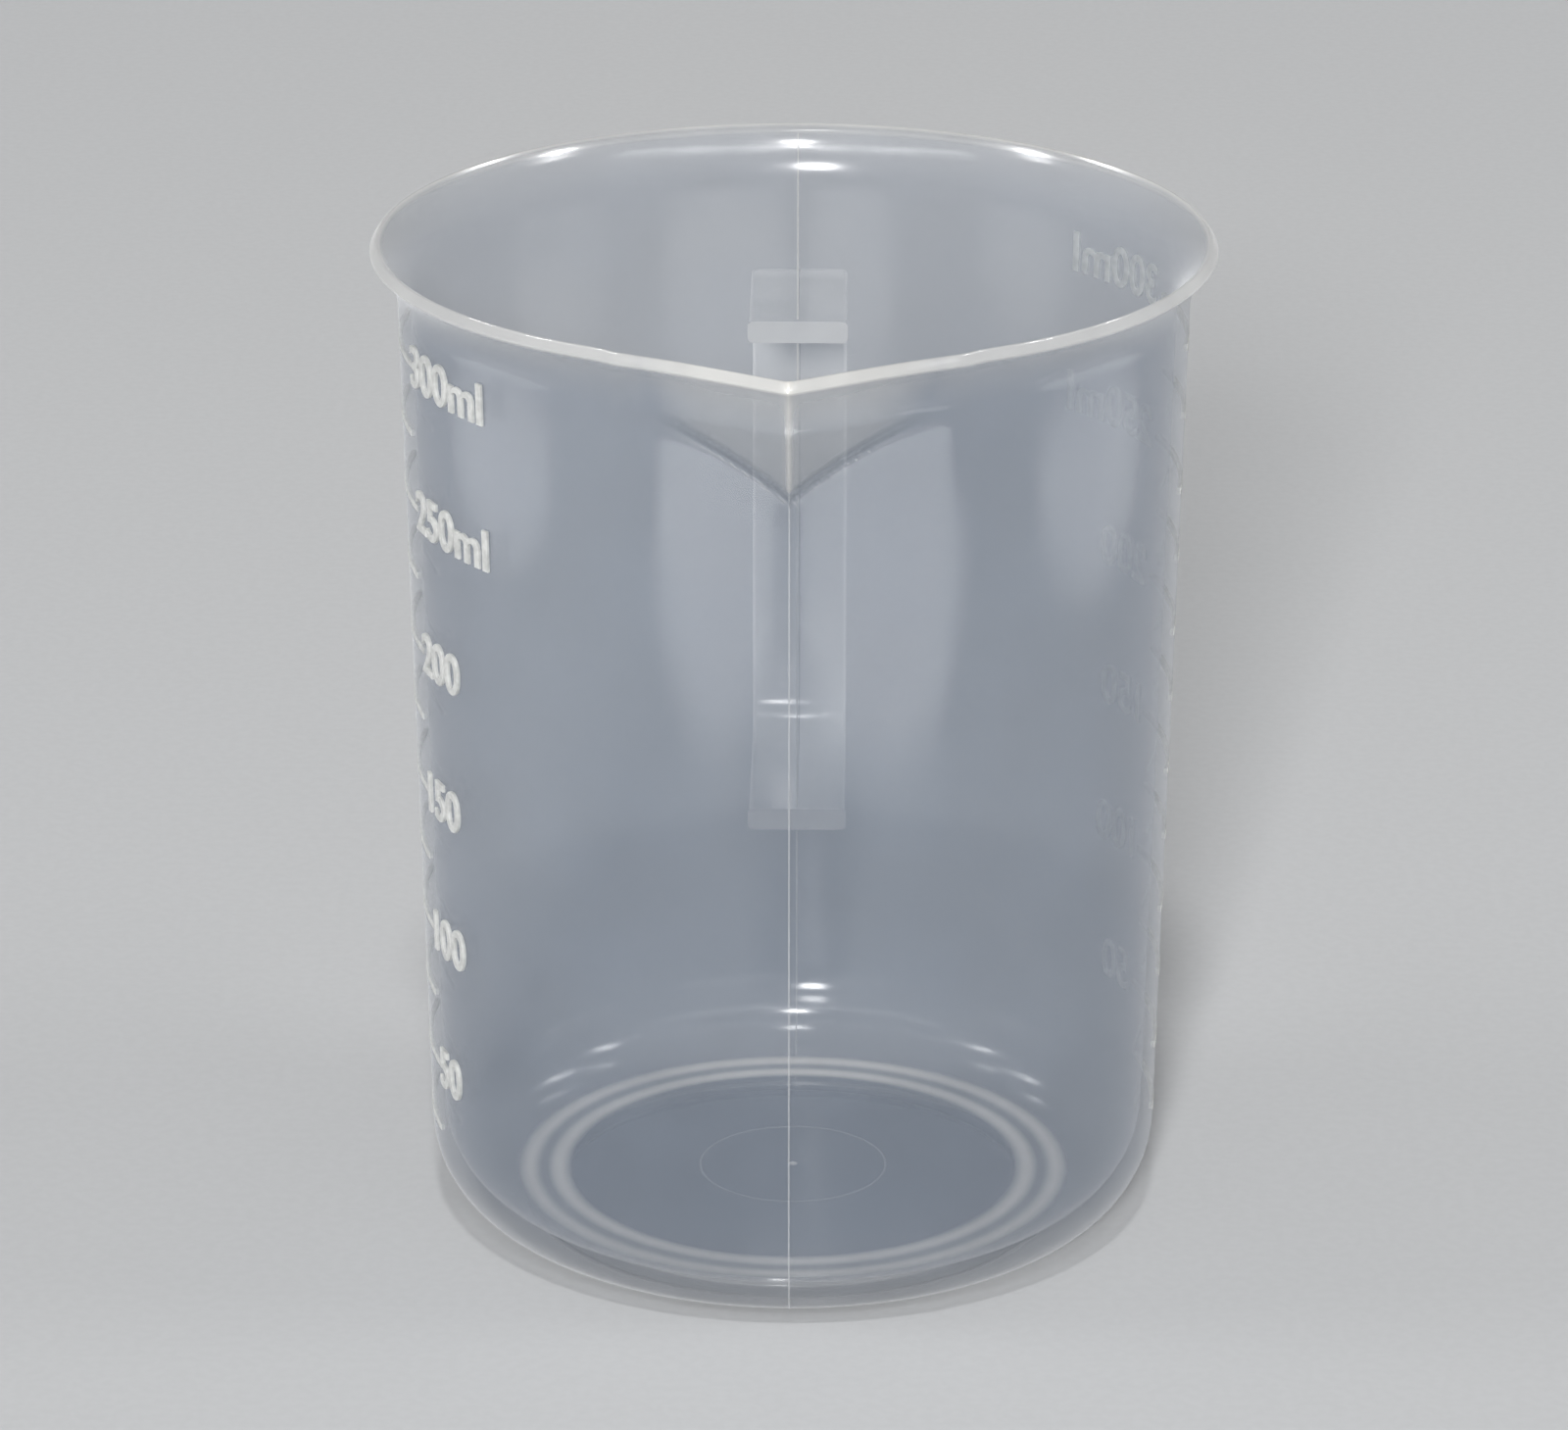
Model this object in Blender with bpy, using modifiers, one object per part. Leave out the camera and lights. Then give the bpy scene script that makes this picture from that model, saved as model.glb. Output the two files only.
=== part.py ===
"""Graduated beaker with a V-shaped pouring spout, raised marks on both sides and a strap handle.

Run it with blender --background --python part.py, or from Blender's text editor. Lengths are in metres
and +Z is up. The spout points along -Y and the handle along +Y. The origin lies on the table, under the
middle of the whole object.
"""

import math

import bmesh
import bpy

MM = 0.001

# Vessel wall and floor
HEIGHT = 95.6 * MM  # table to the rim's highest edge
BASE_RADIUS = 34.2 * MM  # outer wall, carried straight down to the table
WALL_TAPER = 0.0248  # how much the radius grows for each unit of height
WALL = 1.2 * MM
FLOOR = 1.6 * MM
CORNER_RADIUS = 9.15 * MM  # outside, between the wall and the base
FOOT_WIDTH = 2.8 * MM  # ring that the vessel stands on, inside the rounded corner
RECESS_DEPTH = 1.0 * MM  # hollow under the base, inside that ring
RECESS_DRAFT = 0.4 * MM

# Flared rim
RIM_OVERHANG = 2.45 * MM  # outermost edge, past the wall carried up to it
FLARE_ANGLE = math.radians(54)  # how far the rim leans out from the vertical

# Spout
SPOUT_REACH = 5.9 * MM  # from the round rim's edge out to the tip
SPOUT_DROP = 7.8 * MM  # from the start of the flare down to where the spout's ridge leaves the wall
SPOUT_HALF_ANGLE = math.radians(22.5)  # from the tip round to where the spout joins the round rim

# Handle
HANDLE_REACH = 23.2 * MM  # from the wall beside the upper arm out to the grip's outer face
HANDLE_DROP = 19.5 * MM  # from the rim's highest edge down to the upper arm
HANDLE_BOTTOM = 23.9 * MM
HANDLE_CORNER = 6.7 * MM  # outside of the bend between an arm and the grip
STRAP_WIDTH = 9.5 * MM
STRAP_THICKNESS = 1.9 * MM
STRAP_EDGE = 0.4 * MM  # rounding of the strap's long edges
HANDLE_CLEARANCE = 0.3 * MM  # between the arms' ends and the wall

# Graduation marks
FIRST_MARK = 10.4 * MM  # height of the lowest mark's middle
MARK_SPACING = 6.92 * MM
SCALE_MARGIN = 2.0 * MM  # least height from the top mark up to the start of the flare
MILLILITRES_PER_MARK = 25
MARKS_PER_LONG_MARK = 2
LONG_MARK = math.radians(26)  # round the wall
SHORT_MARK = math.radians(22)
MARK_MIDDLE = math.radians(85)  # from the spout to the middle of every left mark
MARK_THICKNESS = 0.6 * MM
MARK_DEPTH = 0.25 * MM  # from a mark's back face to its outer face
MARK_CLEARANCE = 0.2 * MM  # between a mark's back face and the wall

# Fineness
COLUMNS = 80  # round the vessel
CORNER_STEPS = 5
FLARE_STEPS = 5
BEND_STEPS = 6
MARK_SEGMENTS = 8
EDGE_SEGMENTS = 2
WALL_ROWS = 2  # extra rows on the plain wall below the spout
CREASE_MARGIN = 0.4 * MM  # from the row that carries the spout's crease up to the flare
ROUNDING = 0.001 * MM  # rows closer than this are the same row
MERGE_DISTANCE = 0.01 * MM


def wall_radius(z):
    """Radius of the outer wall at a height, as if it ran straight down to the table."""
    return BASE_RADIUS + WALL_TAPER * z


# Wall and base, worked out from the sizes above
TAPER_ANGLE = math.atan(WALL_TAPER)
WALL_ACROSS = WALL / math.cos(TAPER_ANGLE)  # wall thickness measured level
INNER_FLOOR = RECESS_DEPTH + FLOOR
INNER_CORNER = CORNER_RADIUS - WALL
FOOT_RADIUS = wall_radius(CORNER_RADIUS) - CORNER_RADIUS / math.cos(TAPER_ANGLE)
RECESS_RADIUS = FOOT_RADIUS - FOOT_WIDTH
COLUMN_ANGLE = 2 * math.pi / COLUMNS

# Rim: an arc that leaves the wall without a kink and ends at the flare's angle
RIM_EDGE_HEIGHT = HEIGHT - WALL * math.sin(FLARE_ANGLE)
RIM_RADIUS = wall_radius(RIM_EDGE_HEIGHT) + RIM_OVERHANG
FLARE_OUT = math.cos(TAPER_ANGLE) - math.cos(FLARE_ANGLE)
FLARE_UP = math.sin(FLARE_ANGLE) - math.sin(TAPER_ANGLE)
FLARE_RADIUS = RIM_OVERHANG / (FLARE_OUT - WALL_TAPER * FLARE_UP)
FLARE_START = RIM_EDGE_HEIGHT - FLARE_RADIUS * FLARE_UP
FLARE_CENTRE_R = RIM_RADIUS + FLARE_RADIUS * math.cos(FLARE_ANGLE)
FLARE_CENTRE_Z = RIM_EDGE_HEIGHT - FLARE_RADIUS * math.sin(FLARE_ANGLE)

# Spout: two flat faces. Seen from above, each lies along a line whose normal points SPOUT_NORMAL away
# from the spout's direction, at a distance from the vessel's axis that grows with the height.
SPOUT_TIP = RIM_RADIUS + SPOUT_REACH
SPOUT_APEX_HEIGHT = FLARE_START - SPOUT_DROP
SPOUT_NORMAL = math.atan2(SPOUT_TIP - RIM_RADIUS * math.cos(SPOUT_HALF_ANGLE),
                          RIM_RADIUS * math.sin(SPOUT_HALF_ANGLE))
FACE_AT_FLARE = SPOUT_TIP * math.cos(SPOUT_NORMAL) - (RIM_RADIUS - wall_radius(FLARE_START))
FACE_AT_APEX = wall_radius(SPOUT_APEX_HEIGHT) * math.cos(SPOUT_NORMAL)
FACE_SLOPE = (FACE_AT_FLARE - FACE_AT_APEX) / (FLARE_START - SPOUT_APEX_HEIGHT)
CREASE_ROW = FLARE_START - CREASE_MARGIN

# Handle's place, and the vessel's axis, which sets the object's middle over the origin
HANDLE_TOP = HEIGHT - HANDLE_DROP
GRIP_FACE = wall_radius(HANDLE_TOP) + HANDLE_REACH
AXIS_Y = (SPOUT_TIP - GRIP_FACE) / 2

VESSEL_COLOUR = (0.56, 0.60, 0.66, 1.0)
HANDLE_COLOUR = (0.60, 0.63, 0.67, 1.0)
MARK_COLOUR = (0.78, 0.79, 0.77, 1.0)
PLASTIC_ROUGHNESS = 0.28


def arc(centre, radius, start, end, steps):
    """Points of an arc from one angle to another, both ends included."""
    points = []
    for step in range(steps + 1):
        angle = start + (end - start) * step / steps
        points.append((centre[0] + radius * math.cos(angle), centre[1] + radius * math.sin(angle)))
    return points


def wall_rows(low, depth):
    """Rows of the plain wall from a height up to the spout, then the row that carries its crease."""
    rows = []
    for row in range(1, WALL_ROWS + 1):
        z = low + (SPOUT_APEX_HEIGHT - low) * row / (WALL_ROWS + 1)
        rows.append((wall_radius(z) - depth, z))
    rows.append((wall_radius(CREASE_ROW) - depth, CREASE_ROW))
    return rows


def corner_centre(corner, bottom, depth):
    """Centre of the rounded corner that joins a floor to the wall, at a depth behind its outer face."""
    z = bottom + corner
    return wall_radius(z) - depth - corner / math.cos(TAPER_ANGLE), z


def corner_arc(corner, bottom, depth):
    """Rounded corner from the floor up to the wall."""
    centre = corner_centre(corner, bottom, depth)
    return arc(centre, corner, -math.pi / 2, -TAPER_ANGLE, CORNER_STEPS)


def outer_radius(z):
    """Radius of the vessel's outer face at a height below the flare, rounded corner included."""
    centre_r, centre_z = corner_centre(CORNER_RADIUS, 0, 0)
    if z >= centre_z - CORNER_RADIUS * math.sin(TAPER_ANGLE):
        return wall_radius(z)
    return centre_r + math.sqrt(CORNER_RADIUS ** 2 - (centre_z - z) ** 2)


def flare_arc(radius):
    """The rim's sweep outwards, from the wall up to the edge."""
    centre = (FLARE_CENTRE_R, FLARE_CENTRE_Z)
    return arc(centre, radius, math.pi - TAPER_ANGLE, math.pi - FLARE_ANGLE, FLARE_STEPS)


def vessel_profile():
    """Section of the vessel's wall: out over the floor, up the inside, and down the outside."""
    inner_corner = corner_arc(INNER_CORNER, INNER_FLOOR, WALL_ACROSS)
    inside = [(0, INNER_FLOOR)] + inner_corner
    inside += wall_rows(inner_corner[-1][1], WALL_ACROSS)
    inside += flare_arc(FLARE_RADIUS + WALL)

    outer_corner = corner_arc(CORNER_RADIUS, 0, 0)
    outside = [(0, RECESS_DEPTH), (RECESS_RADIUS - RECESS_DRAFT, RECESS_DEPTH), (RECESS_RADIUS, 0)]
    outside += outer_corner
    outside += wall_rows(outer_corner[-1][1], 0)
    outside += flare_arc(FLARE_RADIUS)
    return inside + outside[::-1]


def spout_radius(radius, angle, z):
    """Radius that the spout gives to a point of the turned vessel."""
    level = min(z, FLARE_START)
    depth = wall_radius(level) - radius
    face = FACE_AT_FLARE - FACE_SLOPE * (FLARE_START - level) - depth
    return face / math.cos(abs(angle) - SPOUT_NORMAL)


def crease_height(angle, depth):
    """Height at which the spout's face leaves the wall, at a depth behind the outer face."""
    turn = math.cos(abs(angle) - SPOUT_NORMAL)
    rise = (BASE_RADIUS - depth) * turn + depth - FACE_AT_FLARE + FACE_SLOPE * FLARE_START
    return rise / (FACE_SLOPE - WALL_TAPER * turn)


def aligned_angle(angle):
    """Angle from the spout, eased so that one column of points stands where the spout joins the rim."""
    column = max(1, round(SPOUT_HALF_ANGLE / COLUMN_ANGLE)) * COLUMN_ANGLE
    size = abs(angle)
    if size <= column:
        eased = size * SPOUT_HALF_ANGLE / column
    else:
        eased = SPOUT_HALF_ANGLE + (size - column) * (math.pi - SPOUT_HALF_ANGLE) / (math.pi - column)
    return math.copysign(eased, angle)


def pull_out_spout(vertices):
    """Moves the points of the turned vessel that lie on the spout."""
    for vertex in vertices:
        x, y, z = vertex.co
        radius = math.hypot(x, y)
        if radius < MERGE_DISTANCE:
            continue
        angle = aligned_angle(math.atan2(x, -y))
        on_spout = abs(angle) < SPOUT_HALF_ANGLE
        if on_spout and abs(z - CREASE_ROW) < ROUNDING:
            depth = wall_radius(z) - radius
            z = min(crease_height(angle, depth), CREASE_ROW)
            radius = wall_radius(z) - depth
        if on_spout and z > SPOUT_APEX_HEIGHT - WALL:
            radius = max(radius, spout_radius(radius, angle, z))
        vertex.co = (radius * math.sin(angle), -radius * math.cos(angle), z)


def new_collection(name):
    """Collection linked to the scene."""
    collection = bpy.data.collections.new(name)
    bpy.context.scene.collection.children.link(collection)
    return collection


def plastic(name, colour):
    """Material of one part of the moulding."""
    material = bpy.data.materials.new(name)
    material.use_nodes = True
    shader = material.node_tree.nodes["Principled BSDF"]
    shader.inputs["Base Color"].default_value = colour
    shader.inputs["Roughness"].default_value = PLASTIC_ROUGHNESS
    shader.inputs["Metallic"].default_value = 0.0
    material.diffuse_color = colour
    return material


def profile_object(name, points, collection):
    """Object that holds an open line of points in the XZ plane, for turning."""
    mesh = bpy.data.meshes.new(name)
    edges = [(index, index + 1) for index in range(len(points) - 1)]
    mesh.from_pydata([(r, 0, z) for r, z in points], edges, [])
    thing = bpy.data.objects.new(name, mesh)
    collection.objects.link(thing)
    return thing


def turn(thing, angle, steps):
    """Screw modifier that turns a profile round Z."""
    screw = thing.modifiers.new("Turn", "SCREW")
    screw.axis = "Z"
    screw.angle = angle
    screw.steps = steps
    screw.render_steps = steps
    screw.use_merge_vertices = True
    screw.merge_threshold = MERGE_DISTANCE
    screw.use_smooth_shade = True


def evaluated_mesh(thing):
    """Mesh of an object with its modifiers applied."""
    bpy.context.view_layer.update()
    evaluated = thing.evaluated_get(bpy.context.evaluated_depsgraph_get())
    return bpy.data.meshes.new_from_object(evaluated)


def shade(mesh):
    """Smooth shading that keeps creases sharp."""
    mesh.shade_smooth()
    mesh.set_sharp_from_angle(angle=math.radians(30))


def make_vessel(collection):
    """Floor, wall, flared rim and spout, as one open shell."""
    turned = profile_object("vessel_section", vessel_profile(), collection)
    turn(turned, 2 * math.pi, COLUMNS)
    mesh = evaluated_mesh(turned)
    bpy.data.objects.remove(turned)

    shape = bmesh.new()
    shape.from_mesh(mesh)
    bmesh.ops.remove_doubles(shape, verts=shape.verts, dist=MERGE_DISTANCE)
    pull_out_spout(shape.verts)
    shape.to_mesh(mesh)
    shape.free()
    shade(mesh)

    mesh.name = "vessel"
    mesh.materials.clear()
    mesh.materials.append(plastic("vessel_plastic", VESSEL_COLOUR))
    vessel = bpy.data.objects.new("vessel", mesh)
    vessel.location = (0, AXIS_Y, 0)
    collection.objects.link(vessel)


def strap_outline():
    """Closed outline of the handle seen from the side, as (distance from the axis, height)."""
    root = wall_radius(HANDLE_BOTTOM) - WALL  # inside the wall, where the cut will take it back
    outer = HANDLE_CORNER
    inner = HANDLE_CORNER - STRAP_THICKNESS
    bend_r = GRIP_FACE - HANDLE_CORNER
    top_bend = (bend_r, HANDLE_TOP - HANDLE_CORNER)
    bottom_bend = (bend_r, HANDLE_BOTTOM + HANDLE_CORNER)

    points = [(root, HANDLE_TOP)]
    points += arc(top_bend, outer, math.pi / 2, 0, BEND_STEPS)
    points += arc(bottom_bend, outer, 0, -math.pi / 2, BEND_STEPS)
    points += [(root, HANDLE_BOTTOM), (root, HANDLE_BOTTOM + STRAP_THICKNESS)]
    points += arc(bottom_bend, inner, -math.pi / 2, 0, BEND_STEPS)
    points += arc(top_bend, inner, 0, math.pi / 2, BEND_STEPS)
    points += [(root, HANDLE_TOP - STRAP_THICKNESS)]
    return points


def wall_cutter(collection):
    """Plain cone of the outer wall, grown by the handle's clearance."""
    low = HANDLE_BOTTOM - STRAP_WIDTH
    high = HANDLE_TOP + STRAP_WIDTH
    shape = bmesh.new()
    bmesh.ops.create_cone(shape, cap_ends=True, segments=COLUMNS, depth=high - low,
                          radius1=wall_radius(low) + HANDLE_CLEARANCE,
                          radius2=wall_radius(high) + HANDLE_CLEARANCE)
    mesh = bpy.data.meshes.new("wall_cutter")
    shape.to_mesh(mesh)
    shape.free()
    cutter = bpy.data.objects.new("wall_cutter", mesh)
    cutter.location = (0, AXIS_Y, (low + high) / 2)
    cutter.hide_render = True
    cutter.display_type = "WIRE"
    collection.objects.link(cutter)
    return cutter


def make_handle(collection, cutter):
    """Strap handle, its side outline given a width, its edges rounded and its ends cut to the wall."""
    curve = bpy.data.curves.new("handle_outline", "CURVE")
    curve.dimensions = "2D"
    curve.fill_mode = "BOTH"
    curve.extrude = STRAP_WIDTH / 2
    outline = strap_outline()
    spline = curve.splines.new("POLY")
    spline.points.add(len(outline) - 1)
    for point, (r, z) in zip(spline.points, outline):
        point.co = (r, z, 0, 1)
    spline.use_cyclic_u = True
    flat = bpy.data.objects.new("handle_outline", curve)
    flat.rotation_euler = (math.pi / 2, 0, math.pi / 2)
    flat.location = (0, AXIS_Y, 0)
    collection.objects.link(flat)

    mesh = evaluated_mesh(flat)
    placed = flat.matrix_world.copy()
    bpy.data.objects.remove(flat)
    shape = bmesh.new()
    shape.from_mesh(mesh)
    bmesh.ops.remove_doubles(shape, verts=shape.verts, dist=MERGE_DISTANCE)
    shape.to_mesh(mesh)
    shape.free()
    shade(mesh)

    mesh.name = "handle"
    mesh.materials.clear()
    mesh.materials.append(plastic("handle_plastic", HANDLE_COLOUR))
    handle = bpy.data.objects.new("handle", mesh)
    handle.matrix_world = placed
    collection.objects.link(handle)

    rounding = handle.modifiers.new("Edges", "BEVEL")
    rounding.width = STRAP_EDGE
    rounding.segments = EDGE_SEGMENTS
    rounding.limit_method = "ANGLE"
    rounding.angle_limit = math.radians(40)
    cut = handle.modifiers.new("Wall", "BOOLEAN")
    cut.operation = "DIFFERENCE"
    cut.solver = "EXACT"
    cut.object = cutter


def make_mark(name, height, sweep, middle, collection):
    """One raised mark: a short strip turned round the wall and thickened outwards."""
    strip = []
    for z in (height + MARK_THICKNESS / 2, height - MARK_THICKNESS / 2):
        strip.append((outer_radius(z) + MARK_CLEARANCE, z))
    mark = profile_object(name, strip, collection)
    turn(mark, sweep, MARK_SEGMENTS)
    body = mark.modifiers.new("Rise", "SOLIDIFY")
    body.thickness = MARK_DEPTH
    body.offset = 1
    mark.rotation_euler = (0, 0, middle - sweep / 2 - math.pi / 2)
    mark.location = (0, AXIS_Y, 0)
    mark.data.materials.append(plastic(name + "_plastic", MARK_COLOUR))


def make_marks(collection):
    """Both graduated scales, the right one half a turn round from the left one."""
    highest = FLARE_START - SCALE_MARGIN
    count = 1 + int((highest - FIRST_MARK) / MARK_SPACING)
    for number in range(1, count + 1):
        height = FIRST_MARK + (number - 1) * MARK_SPACING
        sweep = SHORT_MARK if number % MARKS_PER_LONG_MARK else LONG_MARK
        label = f"{number * MILLILITRES_PER_MARK:03d}ml"
        make_mark("left_mark_" + label, height, sweep, -MARK_MIDDLE, collection)
        make_mark("right_mark_" + label, height, sweep, math.pi - MARK_MIDDLE, collection)


def main():
    """Clears the scene and models the beaker."""
    for thing in list(bpy.data.objects):
        bpy.data.objects.remove(thing)
    beaker = new_collection("graduated_beaker")
    cutters = new_collection("cutters")
    make_vessel(beaker)
    make_handle(beaker, wall_cutter(cutters))
    make_marks(beaker)


main()
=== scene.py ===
"""Looks of the graduated beaker: milky plastic shell, strap handle, raised scales, numbers and parting line.

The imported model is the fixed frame. Lengths are in metres and +Z is up. The spout points along -Y and the
handle along +Y. Every size here is either read from the frame or a field of the part that it belongs to.
"""

import logging
import math
from abc import ABC, abstractmethod
from dataclasses import dataclass
from enum import Enum
from typing import NamedTuple

import bmesh
import bpy
from mathutils import Matrix, Vector


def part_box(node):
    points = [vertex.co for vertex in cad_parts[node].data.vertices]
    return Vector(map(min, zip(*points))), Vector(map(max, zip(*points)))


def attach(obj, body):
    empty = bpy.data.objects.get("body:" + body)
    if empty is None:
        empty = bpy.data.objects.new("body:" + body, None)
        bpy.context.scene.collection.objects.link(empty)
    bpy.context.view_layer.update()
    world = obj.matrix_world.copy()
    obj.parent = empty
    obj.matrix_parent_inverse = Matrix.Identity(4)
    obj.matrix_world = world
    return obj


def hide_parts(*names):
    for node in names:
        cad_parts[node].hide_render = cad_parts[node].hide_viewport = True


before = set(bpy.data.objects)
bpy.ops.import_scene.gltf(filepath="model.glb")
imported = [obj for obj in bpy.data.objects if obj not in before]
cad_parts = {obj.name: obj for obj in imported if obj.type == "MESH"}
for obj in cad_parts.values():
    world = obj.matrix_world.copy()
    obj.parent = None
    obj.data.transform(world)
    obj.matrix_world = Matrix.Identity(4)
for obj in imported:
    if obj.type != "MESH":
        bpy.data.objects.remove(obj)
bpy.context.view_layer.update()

MM = 0.001
BODY = "root"
RIGHT_NUMBER_GAP = 1.95 * MM  # the photograph shows these numbers further from their marks
NOISE_SPAN = (0.3, 0.7)  # most of a noise lies between these
Colour = tuple[float, float, float, float]
Span = tuple[float, float]
Profile = list[tuple[float, float]]  # points of a section, in its plane
Line = list[tuple[float, float, float]]  # points in space
log = logging.getLogger("beaker")


class Value:
    """One socket of a node tree. Arithmetic on it adds the nodes that work it out."""

    def __init__(self, graph: "Graph", socket: bpy.types.NodeSocket) -> None:
        """Keeps the socket and the graph that it belongs to."""
        self.graph = graph
        self.socket = socket

    def __add__(self, other: "Number") -> "Value":
        """Sum."""
        return self.graph.math("ADD", self, other)

    def __sub__(self, other: "Number") -> "Value":
        """Difference."""
        return self.graph.math("SUBTRACT", self, other)

    def __rsub__(self, other: "Number") -> "Value":
        """Difference, with a plain number first."""
        return self.graph.math("SUBTRACT", other, self)

    def __mul__(self, other: "Number") -> "Value":
        """Product."""
        return self.graph.math("MULTIPLY", self, other)

    def __truediv__(self, other: "Number") -> "Value":
        """Quotient."""
        return self.graph.math("DIVIDE", self, other)

    __radd__ = __add__
    __rmul__ = __mul__


Number = Value | float


class Graph:
    """Adds and links the nodes of one tree, for geometry and for materials alike."""

    def __init__(self, tree: bpy.types.NodeTree) -> None:
        """Keeps the tree that the nodes go into."""
        self.tree = tree

    def feed(self, socket: bpy.types.NodeSocket, value: object) -> None:
        """Links a value to an input, or sets the input to a plain number, vector or colour.

        Args:
            socket: The input.
            value: A value of the same tree, or what is set.
        """
        if isinstance(value, Value):
            self.tree.links.new(value.socket, socket)
        else:
            socket.default_value = value

    def node(self, kind: str, inputs: dict | None = None, **settings: object) -> bpy.types.Node:
        """Adds one node.

        Args:
            kind: Blender's name for the node's type.
            inputs: Values for its inputs, by name or by number.
            **settings: Properties of the node.

        Returns:
            The new node.
        """
        made = self.tree.nodes.new(kind)
        for name, setting in settings.items():
            setattr(made, name, setting)
        for key, value in (inputs or {}).items():
            self.feed(made.inputs[key], value)
        return made

    def out(self, kind: str, inputs: dict | None = None, output: int | str = 0,
            **settings: object) -> Value:
        """Adds one node, as node does, and gives one of its outputs, by name or by number."""
        return Value(self, self.node(kind, inputs, **settings).outputs[output])

    def math(self, operation: str, *values: Number) -> Value:
        """Adds a Math node for up to three values and gives its result."""
        return self.out("ShaderNodeMath", dict(enumerate(values)), operation=operation)

    def ramp(self, value: Number, low: float, high: float, start: float, end: float) -> Value:
        """Eases a value: low and below it give start, and high and above it give end."""
        ranges = {"Value": value, "From Min": low, "From Max": high, "To Min": start, "To Max": end}
        return self.out("ShaderNodeMapRange", ranges, interpolation_type="SMOOTHSTEP")

    def spread(self, noise: Value, start: float, end: float) -> Value:
        """Eases a noise from start to end."""
        return self.ramp(noise, *NOISE_SPAN, start, end)

    def fade(self, value: Value, unit: Value, span: Span, start: float = 1.0) -> Value:
        """Eases from 1 to 0, or from a start of 0 to 1, between two multiples of a unit."""
        return self.ramp(value, unit * span[0], unit * span[1], start, 1.0 - start)

    def noise(self, scale: float, detail: float = 2.0, roughness: float = 0.5) -> Value:
        """Adds noise over the piece's own coordinates.

        Args:
            scale: The larger it is, the finer the noise.
            detail: How many finer layers lie on it.
            roughness: How strong those layers are.

        Returns:
            The noise.
        """
        place = self.out("ShaderNodeTexCoord", output="Object")
        return self.out("ShaderNodeTexNoise", {"Vector": place, "Scale": scale, "Detail": detail,
                                               "Roughness": roughness})

    def bump(self, height: Value, depth: float, strength: float) -> Value:
        """Normal of a surface with fine relief."""
        return self.out("ShaderNodeBump", {"Height": height, "Distance": depth, "Strength": strength})

    def scaled(self, vector: object, by: Number) -> Value:
        """Vector or colour times a number."""
        return self.out("ShaderNodeVectorMath", {0: vector, "Scale": by}, operation="SCALE")

    def vector(self, x: Number = 0.0, y: Number = 0.0, z: Number = 0.0) -> Value:
        """Vector of three numbers."""
        return self.out("ShaderNodeCombineXYZ", {"X": x, "Y": y, "Z": z})


class SizeKind(Enum):
    """Kinds of size that a shape tree takes in, each with the type of its socket."""

    LENGTH = "NodeSocketFloat"
    COUNT = "NodeSocketInt"


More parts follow.
